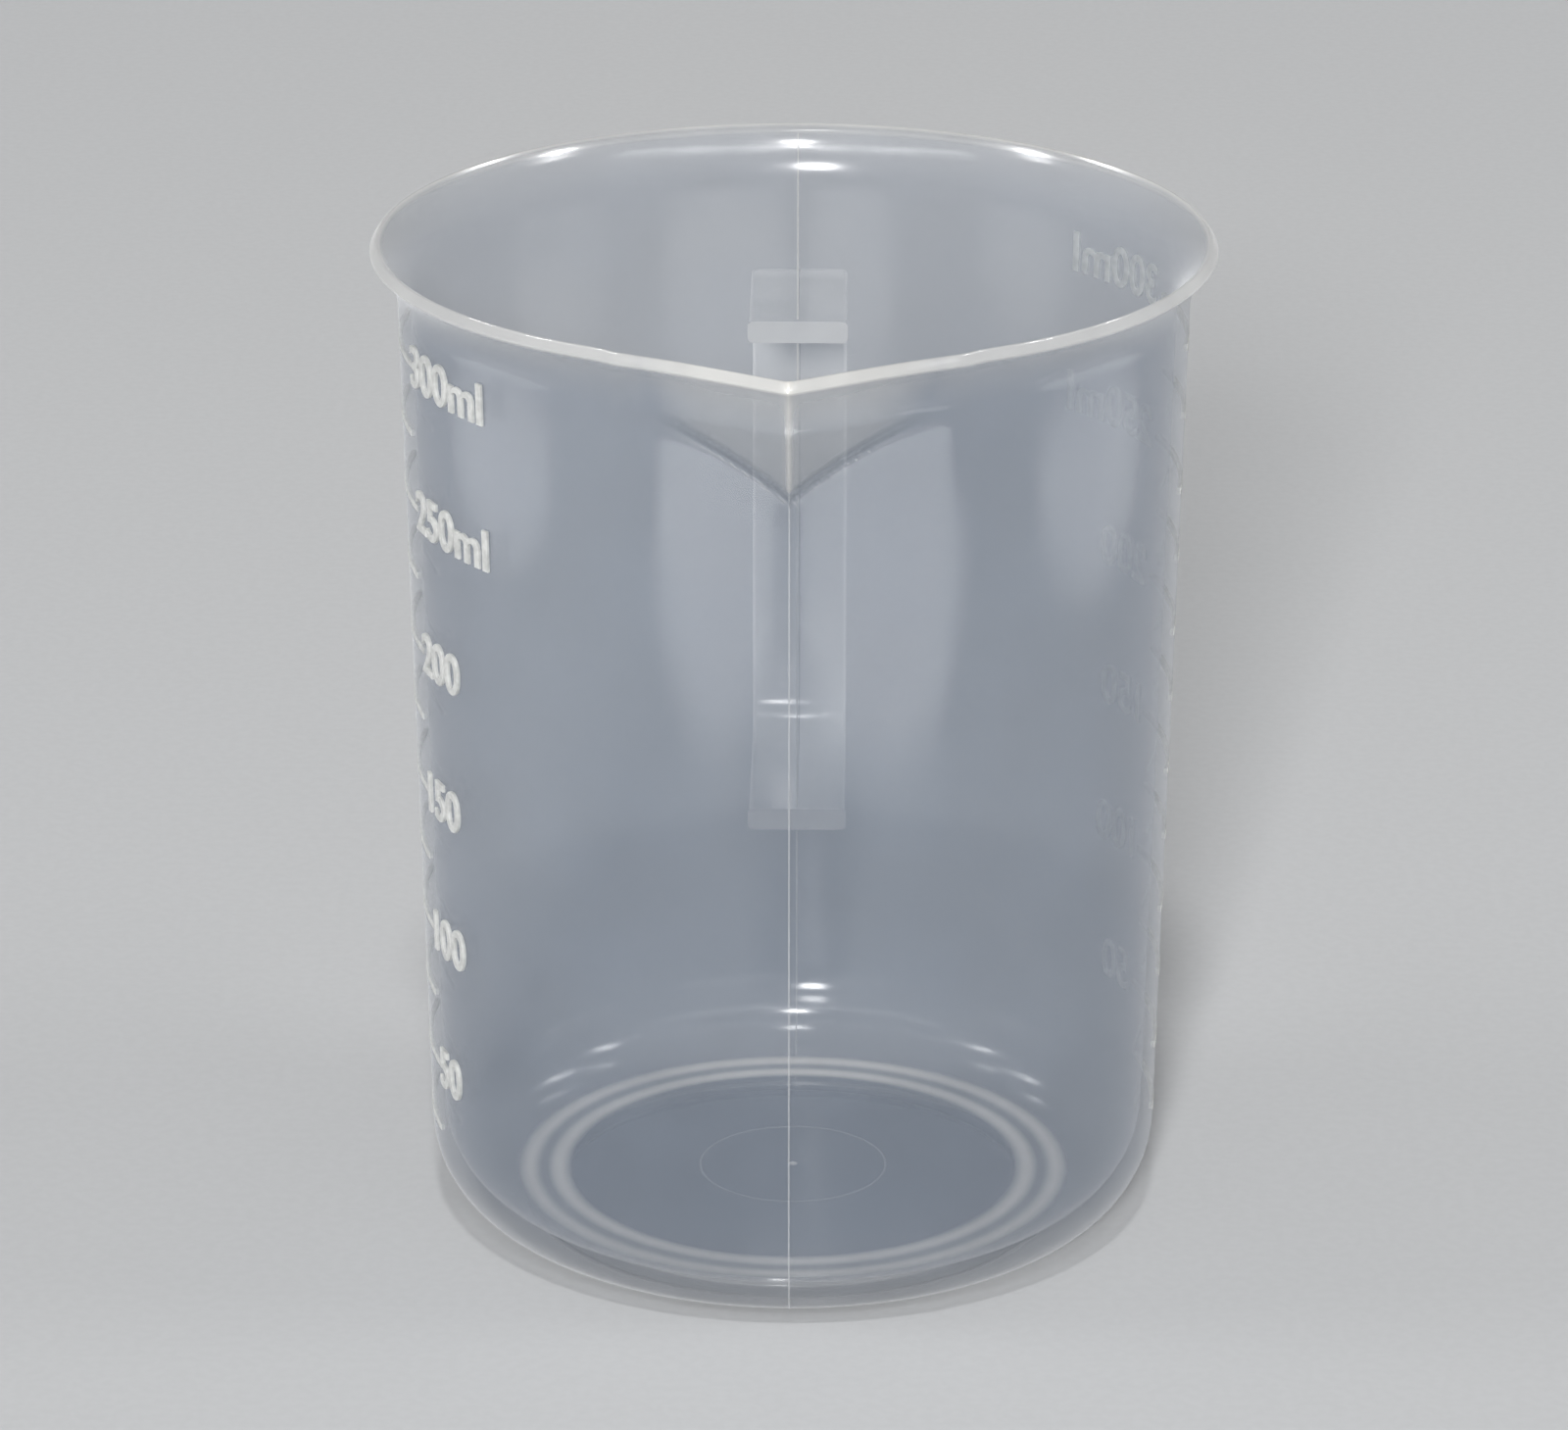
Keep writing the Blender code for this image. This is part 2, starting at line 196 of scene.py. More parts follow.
class ShapeTree(Graph):
    """A Geometry Nodes tree with a named input for each size, which ends in real faces with a material."""

    def __init__(self, name: str, sizes: dict[str, float | int]) -> None:
        """Makes the tree and its inputs.

        Args:
            name: Name of the tree.
            sizes: Each size by its name. A whole number is a count.
        """
        super().__init__(bpy.data.node_groups.new(name, "GeometryNodeTree"))
        self.sizes = sizes
        sockets = self.tree.interface
        sockets.new_socket("Geometry", in_out="INPUT", socket_type="NodeSocketGeometry")
        for label, size in sizes.items():
            kind = SizeKind.COUNT if isinstance(size, int) else SizeKind.LENGTH
            sockets.new_socket(label, in_out="INPUT", socket_type=kind.value)
        sockets.new_socket("Material", in_out="INPUT", socket_type="NodeSocketMaterial")
        sockets.new_socket("Geometry", in_out="OUTPUT", socket_type="NodeSocketGeometry")
        self.group_input = self.node("NodeGroupInput")

    def __getitem__(self, label: str) -> Value:
        """One of the tree's named inputs."""
        return Value(self, self.group_input.outputs[label])

    def position(self) -> tuple[Value, Value, Value]:
        """The three coordinates of each point."""
        split = self.node("ShaderNodeSeparateXYZ", {0: self.out("GeometryNodeInputPosition")})
        return tuple(Value(self, output) for output in split.outputs)

    def place_round(self, geometry: Value, radius: Value, angle: Value, z: Value) -> Value:
        """Moves every point round the vessel's axis.

        Args:
            geometry: What is moved.
            radius: New distance of each point from the axis.
            angle: New angle from the spout.
            z: New height.

        Returns:
            The moved geometry.
        """
        x = self["Axis X"] + radius * self.math("SINE", angle)
        y = self["Axis Y"] - radius * self.math("COSINE", angle)
        return self.out("GeometryNodeSetPosition",
                        {"Geometry": geometry, "Position": self.vector(x, y, z)})

    def path(self) -> Value:
        """Lines of the start mesh, as a curve."""
        return self.out("GeometryNodeMeshToCurve", {"Mesh": self["Geometry"]})

    def sweep(self, path: Value, section: Value) -> Value:
        """Body that a section leaves along a path, with closed ends."""
        return self.out("GeometryNodeCurveToMesh",
                        {"Curve": path, "Profile Curve": section, "Fill Caps": True})

    def with_milk(self, geometry: Value, milk: Value) -> Value:
        """Stores how milky the plastic looks at each point, with its painted highlights and painted shade."""
        return self.out("GeometryNodeStoreNamedAttribute",
                        {"Geometry": geometry, "Name": "milk", "Value": milk}, data_type="FLOAT")

    def end(self, geometry: Value) -> None:
        """Ends the tree with smooth shading, real instances and the material.

        Args:
            geometry: The finished shape.
        """
        smooth = self.out("GeometryNodeSetShadeSmooth", {"Geometry": geometry})
        real = self.out("GeometryNodeRealizeInstances", {"Geometry": smooth})
        dressed = self.out("GeometryNodeSetMaterial",
                           {"Geometry": real, "Material": self["Material"]})
        self.node("NodeGroupOutput", {"Geometry": dressed})

    def run(self, thing: bpy.types.Object, material: bpy.types.Material) -> None:
        """Runs the tree on an object and leaves the result as its plain mesh.

        Args:
            thing: Object whose mesh goes into the tree.
            material: Material of the result.
        """
        modifier = thing.modifiers.new(self.tree.name, "NODES")
        modifier.node_group = self.tree
        values = self.sizes | {"Material": material}
        for item in self.tree.interface.items_tree:
            if item.in_out == "INPUT" and item.name in values:
                modifier[item.identifier] = values[item.name]
        mesh = evaluated_mesh(thing)
        thing.modifiers.remove(modifier)
        thing.data = mesh
        mesh.name = thing.name


def add_object(name: str, data: bpy.types.ID) -> bpy.types.Object:
    """Makes an object and links it to the scene.

    Args:
        name: Name of the object.
        data: Its mesh, text, lamp or camera.

    Returns:
        The object.
    """
    thing = bpy.data.objects.new(name, data)
    bpy.context.scene.collection.objects.link(thing)
    return thing


def evaluated_mesh(thing: bpy.types.Object) -> bpy.types.Mesh:
    """Plain mesh of an object, with its modifiers or its text worked out.

    Args:
        thing: Object that holds a mesh or a text.

    Returns:
        A new mesh.
    """
    bpy.context.view_layer.update()
    evaluated = thing.evaluated_get(bpy.context.evaluated_depsgraph_get())
    return bpy.data.meshes.new_from_object(evaluated)


def set_milk(piece: bpy.types.Object, milk: list[float]) -> None:
    """Stores how milky the plastic looks at each point of a piece, with its painted highlights and painted
    shade.
    """
    stored = piece.data.attributes.new("milk", "FLOAT", "POINT")
    stored.data.foreach_set("value", milk)


def sizes_of(part: object, *fields: str) -> dict[str, float | int]:
    """Sizes that a part holds, each under its field's name as the input of a tree is labelled."""
    return {field.replace("_", " ").title(): getattr(part, field) for field in fields}


def line_object(name: str, lines: list[Line], closed: bool = False) -> bpy.types.Object:
    """Object that holds plain lines of points for a tree to work on.

    Args:
        name: Name of the object.
        lines: Points of each line.
        closed: Whether each line runs back to its first point.

    Returns:
        The object, linked to the scene.
    """
    points = []
    edges = []
    for line in lines:
        first = len(points)
        points += line
        edges += [(first + step, first + step + 1) for step in range(len(line) - 1)]
        if closed:
            edges.append((len(points) - 1, first))
    mesh = bpy.data.meshes.new(name)
    mesh.from_pydata(points, edges, [])
    return add_object(name, mesh)


def arc(centre: tuple[float, float], radius: float, start: float, end: float, steps: int) -> Profile:
    """Points of an arc in a plane, both ends included.

    Args:
        centre: Centre of the arc.
        radius: Radius of the arc.
        start: Angle of the first point.
        end: Angle of the last point.
        steps: How many steps there are between the ends.

    Returns:
        The points.
    """
    points = []
    for step in range(steps + 1):
        angle = start + (end - start) * step / steps
        points.append((centre[0] + radius * math.cos(angle), centre[1] + radius * math.sin(angle)))
    return points


def evenly(low: float, high: float, step: float) -> list[float]:
    """Values from low to high, both left out, no more than a step apart."""
    count = math.ceil(abs(high - low) / step)
    return [low + (high - low) * number / count for number in range(1, count)]


@dataclass(frozen=True)
class Finish(ABC):
    """Named finish with nodes of its own."""

    name: str

    @abstractmethod
    def paint(self, graph: Graph) -> None:
        """Adds the finish's nodes to an empty material."""

    def material(self) -> bpy.types.Material:
        """Makes the material.

        Returns:
            The material, with the nodes that paint adds.
        """
        made = bpy.data.materials.new(self.name)
        made.use_nodes = True
        made.node_tree.nodes.clear()
        self.paint(Graph(made.node_tree))
        return made


@dataclass(frozen=True)
class Polypropylene(Finish):
    """What every finish of the moulding shares: gloss over cloudy plastic that light passes through."""

    glow: float = 0.0  # share of the scattered light that comes out on the far side
    index: float = 1.49
    gloss: float = 1.0
    sheen: float = 0.30  # light that the cloudy plastic catches along its edges
    sheen_roughness: float = 0.45
    grain_strength: float = 0.5

    def surface(self, graph: Graph, tint: Value, roughness: Value, bump: Value, cover: Value) -> None:
        """Joins gloss, colour, see-through and glow into the material's surface.

        Args:
            graph: Graph of the material.
            tint: Colour of the plastic.
            roughness: Roughness of its gloss.
            bump: Normal with the fine grain.
            cover: Share of the light that a face stops.
        """
        shader = graph.out("ShaderNodeBsdfPrincipled",
                           {"Base Color": tint, "Roughness": roughness, "IOR": self.index,
                            "Specular IOR Level": self.gloss, "Sheen Weight": self.sheen,
                            "Sheen Roughness": self.sheen_roughness, "Normal": bump,
                            "Alpha": cover})
        if self.glow > 0:
            through = graph.out("ShaderNodeBsdfTranslucent", {"Color": tint, "Normal": bump})
            shader = graph.out("ShaderNodeMixShader", {0: self.glow, 1: shader, 2: through})
        graph.node("ShaderNodeOutputMaterial", {"Surface": shader})


@dataclass(frozen=True)
class MilkyPlastic(Polypropylene):
    """Plain moulded face: cloudy, and denser wherever it shows more of its thickness. Its milk also carries
    painted highlights, and painted shade where it is below 0.
    """

    thin: Colour = (0.166, 0.200, 0.256, 1.0)  # wall seen face on
    dense: Colour = (0.920, 0.885, 0.810, 1.0)  # rim edge and foot
    thin_cover: float = 0.27
    dense_cover: float = 0.86
    slant_cover: float = 0.50  # added where a face is seen from the side
    slant_power: float = 3.0
    fold_cover: float = 0.5  # share of the dense cover that a fold has, where milk is below 0
    fold_shade: float = 0.34  # painted shade: how much darker the plastic is drawn there, in the spout's crease and at the strap's roots
    cloud: float = 0.03  # unevenness of the cover
    cloud_scale: float = 90.0
    cloud_detail: float = 3.0
    cloud_roughness: float = 0.55
    cloud_shade: Span = (0.95, 1.05)
    cloud_gloss: Span = (0.35, 0.65)  # span of the cloud over which the gloss changes
    roughness: float = 0.13
    roughness_spread: float = 0.06
    grain_scale: float = 220.0
    grain_depth: float = 0.0005 * MM

    def paint(self, graph: Graph) -> None:
        """Adds cloudy, see-through plastic that turns dense where the milk is.

        Args:
            graph: Graph of the empty material.
        """
        milk = graph.out("ShaderNodeAttribute", output="Fac", attribute_name="milk")
        cloud = graph.noise(self.cloud_scale, self.cloud_detail, self.cloud_roughness)
        grain = graph.noise(self.grain_scale)
        roughness = graph.ramp(cloud, *self.cloud_gloss, self.roughness,
                               self.roughness + self.roughness_spread)
        self.surface(graph, self.tint(graph, milk, cloud), roughness,
                     graph.bump(grain, self.grain_depth, self.grain_strength),
                     self.cover(graph, milk, cloud))

    def tint(self, graph: Graph, milk: Value, cloud: Value) -> Value:
        """Colour, from thin to dense plastic, a little uneven, with painted shade where milk is below 0.

        Args:
            graph: Graph of the material.
            milk: How milky the plastic looks.
            cloud: Noise that makes it uneven.

        Returns:
            The colour.
        """
        # painted shade: milk below 0 darkens the colour
        painted_shade = graph.math("MINIMUM", milk, 0.0)
        shade = graph.spread(cloud, *self.cloud_shade) + painted_shade * self.fold_shade
        mixed = graph.node("ShaderNodeMix", {0: milk, 6: self.thin, 7: self.dense}, data_type="RGBA")
        return graph.scaled(Value(graph, mixed.outputs[2]), shade)

    def cover(self, graph: Graph, milk: Value, cloud: Value) -> Value:
        """Share of the light that a face stops.

        Args:
            graph: Graph of the material.
            milk: How milky the plastic looks.
            cloud: Noise that makes it uneven.

        Returns:
            The share, from 0 to 1.
        """
        slant = graph.out("ShaderNodeLayerWeight", {"Blend": 0.5}, output="Facing")
        uneven = (cloud - 0.5) * self.cloud
        density = graph.math("MAXIMUM", milk, milk * -self.fold_cover)
        face_on = self.thin_cover + density * (self.dense_cover - self.thin_cover) + uneven
        left = 1.0 - face_on
        return face_on + left * self.slant_cover * graph.math("POWER", slant, self.slant_power)


@dataclass(frozen=True)
class RaisedPlastic(Polypropylene):
    """The same plastic where it stands proud of the wall: thicker, finely matt, and whiter."""

    colour: Colour = (0.63, 0.635, 0.615, 1.0)
    shade: Span = (0.92, 1.05)
    least_cover: float = 0.72
    cover_spread: float = 0.12
    roughness: float = 0.40
    roughness_spread: float = 0.12
    speckle_scale: float = 1400.0
    speckle_depth: float = 0.02 * MM

    def paint(self, graph: Graph) -> None:
        """Adds finely speckled plastic.

        Args:
            graph: Graph of the empty material.
        """
        speckle = graph.noise(self.speckle_scale)
        tint = graph.scaled(self.colour[:3], graph.spread(speckle, *self.shade))
        roughness = graph.spread(speckle, self.roughness, self.roughness + self.roughness_spread)
        cover = graph.spread(speckle, self.least_cover, self.least_cover + self.cover_spread)
        bump = graph.bump(speckle, self.speckle_depth, self.grain_strength)
        self.surface(graph, tint, roughness, bump, cover)


@dataclass(frozen=True)
class StudioPaper(Finish):
    """Plain pale paper that the beaker stands on."""

    colour: Colour = (0.54, 0.545, 0.55, 1.0)
    shade: Span = (0.985, 1.015)
    roughness: float = 0.85
    fibre_scale: float = 900.0
    fibre_depth: float = 0.02 * MM
    fibre_strength: float = 0.3

    def paint(self, graph: Graph) -> None:
        """Adds paper with a fine fibre.

        Args:
            graph: Graph of the empty material.
        """
        fibre = graph.noise(self.fibre_scale)
        tint = graph.scaled(self.colour[:3], graph.spread(fibre, *self.shade))
        bump = graph.bump(fibre, self.fibre_depth, self.fibre_strength)
        shader = graph.out("ShaderNodeBsdfPrincipled",
                           {"Base Color": tint, "Roughness": self.roughness, "Normal": bump})
        graph.node("ShaderNodeOutputMaterial", {"Surface": shader})


class Piece(ABC):
    """Piece of the moulding: its start mesh is shaped by a tree and dressed in its plastic."""

    plastic: Polypropylene
    slot = "body_plastic"

    @abstractmethod
    def start(self) -> bpy.types.Object:
        """Makes the start mesh."""

    @abstractmethod
    def tree(self) -> ShapeTree:
        """Makes the tree that shapes it."""

    def nodes(self) -> list[str]:
        """Nodes of the frame that the piece stands for."""
        return []

    def shape(self) -> bpy.types.Object:
        """Makes the start mesh and runs the tree on it.

        Returns:
            The shaped piece.
        """
        piece = self.start()
        self.tree().run(piece, self.plastic.material())
        return piece

    def build(self) -> None:
        """Makes the piece, fastens it to the frame and reports it."""
        piece = self.shape()
        nodes = self.nodes()
        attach(piece, BODY)
        if nodes:
            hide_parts(*nodes)
        log.info("%s: %d faces, for %s", piece.name, len(piece.data.polygons), nodes or "itself")


@dataclass(frozen=True)
class Wall:
    """The tapered wall and flared rim that everything is moulded on, as the frame has them."""

    axis: Vector  # foot of the vessel's own axis
    height: float  # to the rim's highest edge
    rim_radius: float
    spout_reach: float  # from the round rim's edge out to the tip
    thickness: float = 1.2 * MM
    taper: float = 0.0248  # how much the radius grows for each unit of height
    rim_overhang: float = 2.45 * MM
    flare_angle: float = math.radians(54)

    @classmethod
    def from_frame(cls) -> "Wall":
        """Reads the wall's main sizes from the frame.

        Returns:
            The wall.
        """
        low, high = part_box("vessel")
        rim_radius = (high.x - low.x) / 2
        axis = Vector(((low.x + high.x) / 2, high.y - rim_radius, 0))
        return cls(axis, high.z, rim_radius, axis.y - low.y - rim_radius)

    @property
    def slant(self) -> float:
        """Angle of the wall from the vertical."""
        return math.atan(self.taper)

    @property
    def across(self) -> float:
        """Wall thickness measured level."""
        return self.thickness / math.cos(self.slant)

    @property
    def edge_height(self) -> float:
        """Height of the rim's outermost edge."""
        return self.height - self.thickness * math.sin(self.flare_angle)

    @property
    def base_radius(self) -> float:
        """Radius of the outer wall, carried straight down to the table."""
        return self.rim_radius - self.rim_overhang - self.taper * self.edge_height

    @property
    def flare_up(self) -> float:
        """Rise of the flare for each unit of its radius."""
        return math.sin(self.flare_angle) - math.sin(self.slant)

    @property
    def flare_radius(self) -> float:
        """Radius of the outer face's sweep outwards."""
        out = math.cos(self.slant) - math.cos(self.flare_angle)
        return self.rim_overhang / (out - self.taper * self.flare_up)

    @property
    def flare_start(self) -> float:
        """Height at which the wall begins to flare."""
        return self.edge_height - self.flare_radius * self.flare_up

    @property
    def flare_centre(self) -> tuple[float, float]:
        """Centre of the flare, as (radius, height)."""
        return (self.rim_radius + self.flare_radius * math.cos(self.flare_angle),
                self.edge_height - self.flare_radius * math.sin(self.flare_angle))

    @property
    def middle_radius(self) -> float:
        """Radius of the outer wall half way up."""
        return self.radius(self.height / 2)

    def radius(self, z: float) -> float:
        """Radius of the outer wall at a height below the flare."""
        return self.base_radius + self.taper * z

    def point(self, radius: float, angle: float, z: float) -> tuple[float, float, float]:
        """Place of a point given by its radius, its angle from the spout and its height."""
        return (self.axis.x + radius * math.sin(angle), self.axis.y - radius * math.cos(angle), z)


class SectionPoint(NamedTuple):
    """Point of the vessel's section: where it is, and how milky the plastic looks there."""

    radius: float
    height: float
    milk: float = 0.0


def milky(points: Profile, milk: float) -> list[SectionPoint]:
    """Section points that all look as milky."""
    return [SectionPoint(radius, height, milk) for radius, height in points]


@dataclass(frozen=True)
class Spout:
    """V-shaped spout: two flat faces that leave the wall at a crease and meet in a ridge at the tip."""

    wall: Wall
    drop: float = 7.8 * MM  # from the start of the flare down to where the ridge leaves the wall
    half_angle: float = math.radians(22.5)  # from the tip round to where the spout joins the rim
    fade_angle: float = math.radians(29)  # past this the wall is plain
    crease_softness: float = 0.18 * MM  # at the apex
    crease_spread: float = 0.9 * MM  # how much softer the crease is where it meets the flare
    crease_band: float = 0.34 * MM  # width of the painted shade in the fold along the crease
    crease_line: float = 0.10 * MM  # half width of the painted highlight line below the fold
    # Painted light on the spout: a highlight line below the crease, a highlight along the ridge, and faces
    # that are paler from thicker, pulled plastic and from a painted reflection of the floor.
    line_milk: float = 0.43
    face_milk: float = 0.19
    ridge_milk: float = 0.36
    ridge_softness: float = math.radians(0.30)
    fold_fade: Span = (0.3, 1.0)  # from the middle of the painted shade in the fold, in bands
    line_fade: Span = (0.3, 1.6)  # from the middle of the painted highlight line, in half widths
    ridge_fade: Span = (1.0, 2.6)  # of the painted highlight, from the ridge, in its softness
    side_fade: Span = (0.45, 0.95)  # from the ridge, in half angles
    face_rise: Span = (1.0, 2.5)  # from the crease up each face, in bands
    pull_rise: Span = (0.3, 0.7)  # from the axis outwards, in radii of the base

    @property
    def tip(self) -> float:
        """Distance of the tip from the axis."""
        return self.wall.rim_radius + self.wall.spout_reach

    @property
    def normal(self) -> float:
        """Angle between the spout's direction and each face's normal, seen from above."""
        rim = self.wall.rim_radius
        return math.atan2(self.tip - rim * math.cos(self.half_angle), rim * math.sin(self.half_angle))

    @property
    def face_at_flare(self) -> float:
        """Distance of a face from the axis, at the start of the flare."""
        flare = self.wall.rim_radius - self.wall.radius(self.wall.flare_start)
        return self.tip * math.cos(self.normal) - flare

    @property
    def apex_height(self) -> float:
        """Height at which the ridge leaves the wall."""
        return self.wall.flare_start - self.drop

    @property
    def face_slope(self) -> float:
        """How much further out a face is for each unit of height."""
        face_at_apex = self.wall.radius(self.apex_height) * math.cos(self.normal)
        return (self.face_at_flare - face_at_apex) / self.drop

    def ridge_radius(self, z: float) -> float:
        """Distance of the outer face's ridge from the axis at a height below the flare."""
        face = self.face_at_flare - self.face_slope * (self.wall.flare_start - z)
        return max(self.wall.radius(z), face / math.cos(self.normal - self.ridge_softness))


@dataclass
class Vessel(Piece):
    """Floor, rounded corner, wall, flared rim and spout, as one closed shell."""

    wall: Wall
    spout: Spout
    plastic: MilkyPlastic
    floor: float = 1.6 * MM
    corner: float = 9.15 * MM  # outside, between the wall and the base
    foot_width: float = 2.8 * MM  # ring that the vessel stands on
    foot_step: float = 0.30 * MM  # how far that ring stands proud of the rounded corner
    foot_draft: float = 0.018 * MM  # how far its outer side leans outwards on the way up
    recess: float = 1.0 * MM  # depth of the hollow inside the ring
    recess_draft: float = 0.4 * MM
    recess_lean: float = 0.25  # angle of the hollow's side from the vertical
    small_edge: float = 0.18 * MM  # rounding of the foot's edges
    rim_edge: float = 0.25 * MM  # rounding of the rim's two edges
    gate_radius: float = 0.45 * MM  # spot in the middle of the floor where the plastic came in
    gate_rise: float = 0.16 * MM
    gate_milk: float = 0.8
    gate_profile: tuple[tuple[float, float, float], ...] = (  # radius, rise and milk, as shares
        (0, 1, 1), (0.6, 0.9, 1), (1, 0.2, 0.625), (1.2, 0, 0))
    rim_milk: float = 0.53
    flare_milk: float = 0.27  # at the top of the flare, fading to nothing at its start
    corner_milk: float = 0.23
    floor_milk: float = 0.06
    ring_milk: float = 1.0  # of the floor above the two edges of the foot: thicker plastic, and a painted highlight of the light that those edges catch
    ring_spread: float = 1.35 * MM
    ring_rise: float = 0.3 * MM  # how far up the inner corner the rings still show
    foot_milk: float = 0.34  # of the floor between those edges, also partly a painted highlight
    hollow_edge_milk: float = 0.35  # underneath, round the top of the hollow
    foot_edge_milk: float = 0.40
    foot_face_milk: float = 0.20
    foot_fade: float = 3.0 * MM  # over which the underside grows plain outside the foot
    pin_ring: float = 8.9 * MM  # faint ring on the floor
    pin_ring_width: float = 0.30 * MM
    pin_ring_rise: float = 0.04 * MM
    pin_ring_milk: float = 0.34
    pin_ring_edge_milk: float = 0.25
    row_step: float = 4.0 * MM
    fine_row_step: float = 0.36 * MM
    floor_row_step: float = 1.0 * MM
    foot_row_step: float = 0.4 * MM
    ring_row_step: float = 0.25 * MM
    spout_columns: int = 104
    spout_sector: float = math.radians(30)
    round_columns: int = 200
    edge_steps: int = 4
    rim_steps: int = 5
    flare_steps: int = 14
    inner_corner_steps: int = 22
    outer_corner_steps: int = 26
    seam: float = 0.001 * MM  # closer than this, points are made one

    @property
    def inner_floor(self) -> float:
        """Height of the floor's upper face."""
        return self.recess + self.floor

    def corner_points(self, radius: float, bottom: float, depth: float, steps: int) -> Profile:
        """Rounded corner from a floor up to the wall.

        Args:
            radius: Radius of the corner.
            bottom: Height of the floor.
            depth: How far behind the outer face this face lies.
            steps: How many steps the arc has.

        Returns:
            Its points, as (radius, height).
        """
        z = bottom + radius
        centre = (self.wall.radius(z) - depth - radius / math.cos(self.wall.slant), z)
        return arc(centre, radius, -math.pi / 2, -self.wall.slant, steps)

    def wall_points(self, low: float, depth: float) -> Profile:
        """Rows of the plain wall, closer together where the spout is.

        Args:
            low: Height that the rows lie above.
            depth: How far behind the outer face this face lies.

        Returns:
            Its points, as (radius, height).
        """
        fine_from = self.spout.apex_height - 2 * self.wall.thickness
        heights = evenly(low, fine_from, self.row_step) + [fine_from]
        heights += evenly(fine_from, self.wall.flare_start, self.fine_row_step)
        return [(self.wall.radius(z) - depth, z) for z in heights]

    def flare_points(self, radius: float, shortened: float) -> Profile:
        """Sweep of the rim from the wall up, shortened by what its edge rounding takes."""
        end = math.pi - self.wall.flare_angle + shortened / radius
        return arc(self.wall.flare_centre, radius, math.pi - self.wall.slant, end, self.flare_steps)

    def rim_points(self) -> Profile:
        """The rim's end face with its two rounded edges, from the inside to the outside.

        Returns:
            Its points, as (radius, height).
        """
        centre_r, centre_z = self.wall.flare_centre
        radius = self.wall.flare_radius
        lean = self.wall.flare_angle
        middle = math.pi - lean + self.rim_edge / radius
        inner = radius + self.wall.thickness - self.rim_edge
        outer = radius + self.rim_edge
        along = math.pi / 2 - lean
        points = []
        quarter = math.pi / 2
        for distance, start, end in ((inner, along + quarter, along), (outer, along, along - quarter)):
            centre = (centre_r + distance * math.cos(middle), centre_z + distance * math.sin(middle))
            points += arc(centre, self.rim_edge, start, end, self.rim_steps)
        return points

    def ring_milk_at(self, radius: float) -> float:
        """How milky the floor looks above the foot, with a ring over each of its edges that is partly a
        painted highlight.

        Args:
            radius: Distance from the axis.

        Returns:
            The milk, where 0 is plain plastic and 1 is dense.
        """
        outside = self.corner_points(self.corner, 0, 0, 1)[0][0]
        inside = outside - self.foot_width
        apart = min(abs(radius - inside), abs(radius - outside))
        milk = self.ring_milk * max(0.0, 1 - (apart / self.ring_spread) ** 2)
        return max(milk, self.foot_milk) if inside < radius < outside else max(milk, self.floor_milk)

    def corner_milk_at(self, radius: float, z: float) -> float:
        """How milky the rounded corner looks, which fades out up the wall.

        Args:
            radius: Distance from the axis.
            z: Height.

        Returns:
            The milk, where 0 is plain plastic and 1 is dense.
        """
        top = self.inner_floor + self.corner
        if z >= top:
            return 0.0
        faded = self.corner_milk * (top - z) / self.corner
        on_floor = z < self.inner_floor + self.ring_rise
        return max(faded, self.ring_milk_at(radius)) if on_floor else faded

    def flare_milk_at(self, z: float) -> float:
        """How milky the flare looks, from its start up to the rim."""
        rise = (z - self.wall.flare_start) / (self.wall.height - self.wall.flare_start)
        return self.flare_milk * max(0.0, rise)

    def floor_points(self) -> list[SectionPoint]:
        """Inner floor from its middle outwards, with the gate spot and the faint ring.

        Returns:
            Its points.
        """
        z = self.inner_floor
        gate = self.gate_radius
        half = self.pin_ring_width / 2
        plain, edge, ring = self.floor_milk, self.pin_ring_edge_milk, self.pin_ring_milk
        points = [SectionPoint(out * gate, z + up * self.gate_rise, share * self.gate_milk)
                  for out, up, share in self.gate_profile]
        points += [SectionPoint(r, z, plain)
                   for r in evenly(2 * gate, self.pin_ring - 2 * half, self.floor_row_step)]
        points += [SectionPoint(self.pin_ring + out * half, z + up * self.pin_ring_rise, milk)
                   for out, up, milk in ((-2, 0, plain), (-1, 0, edge), (-0.5, 1, ring),
                                         (0.5, 1, ring), (1, 0, edge), (2, 0, plain))]
        corner = self.corner_points(self.corner - self.wall.thickness, z, self.wall.across, 1)[0][0]
        points += [SectionPoint(r, z, self.ring_milk_at(r))
                   for r in evenly(self.pin_ring + 2 * half, corner, self.ring_row_step)]
        return points

    def foot_points(self) -> list[SectionPoint]:
        """Underside from the middle of the hollow outwards to the rounded corner.

        Returns:
            Its points.
        """
        corner = self.corner_points(self.corner, 0, 0, self.outer_corner_steps)
        outside = corner[0][0]
        inside = outside - self.foot_width
        small, steps, lean = self.small_edge, self.edge_steps, self.recess_lean
        top = (inside - self.recess_draft - small, self.recess - small)
        low = (inside + small, small)
        last = (outside - small, small)
        points = [SectionPoint(0, self.recess)]
        points += [SectionPoint(r, self.recess) for r in evenly(0, top[0], self.floor_row_step)]
        points += milky(arc(top, small, math.pi / 2, lean, steps), self.hollow_edge_milk)
        points += milky(arc(low, small, math.pi - lean, 1.5 * math.pi, steps), self.foot_edge_milk)
        points += [SectionPoint(r, 0, self.foot_face_milk)
                   for r in evenly(low[0], last[0], self.foot_row_step)]
        points += milky(arc(last, small, -math.pi / 2, 0, steps), self.foot_edge_milk)
        points.append(SectionPoint(outside + self.foot_draft, self.foot_step, self.foot_edge_milk))
        for r, z in corner:
            if r > outside + 2 * small:
                near_foot = self.hollow_edge_milk * (1 - (r - outside) / self.foot_fade)
                milk = max(near_foot, self.corner_milk * (1 - z / self.corner))
                points.append(SectionPoint(r, math.hypot(z, self.foot_step), milk))
        return points

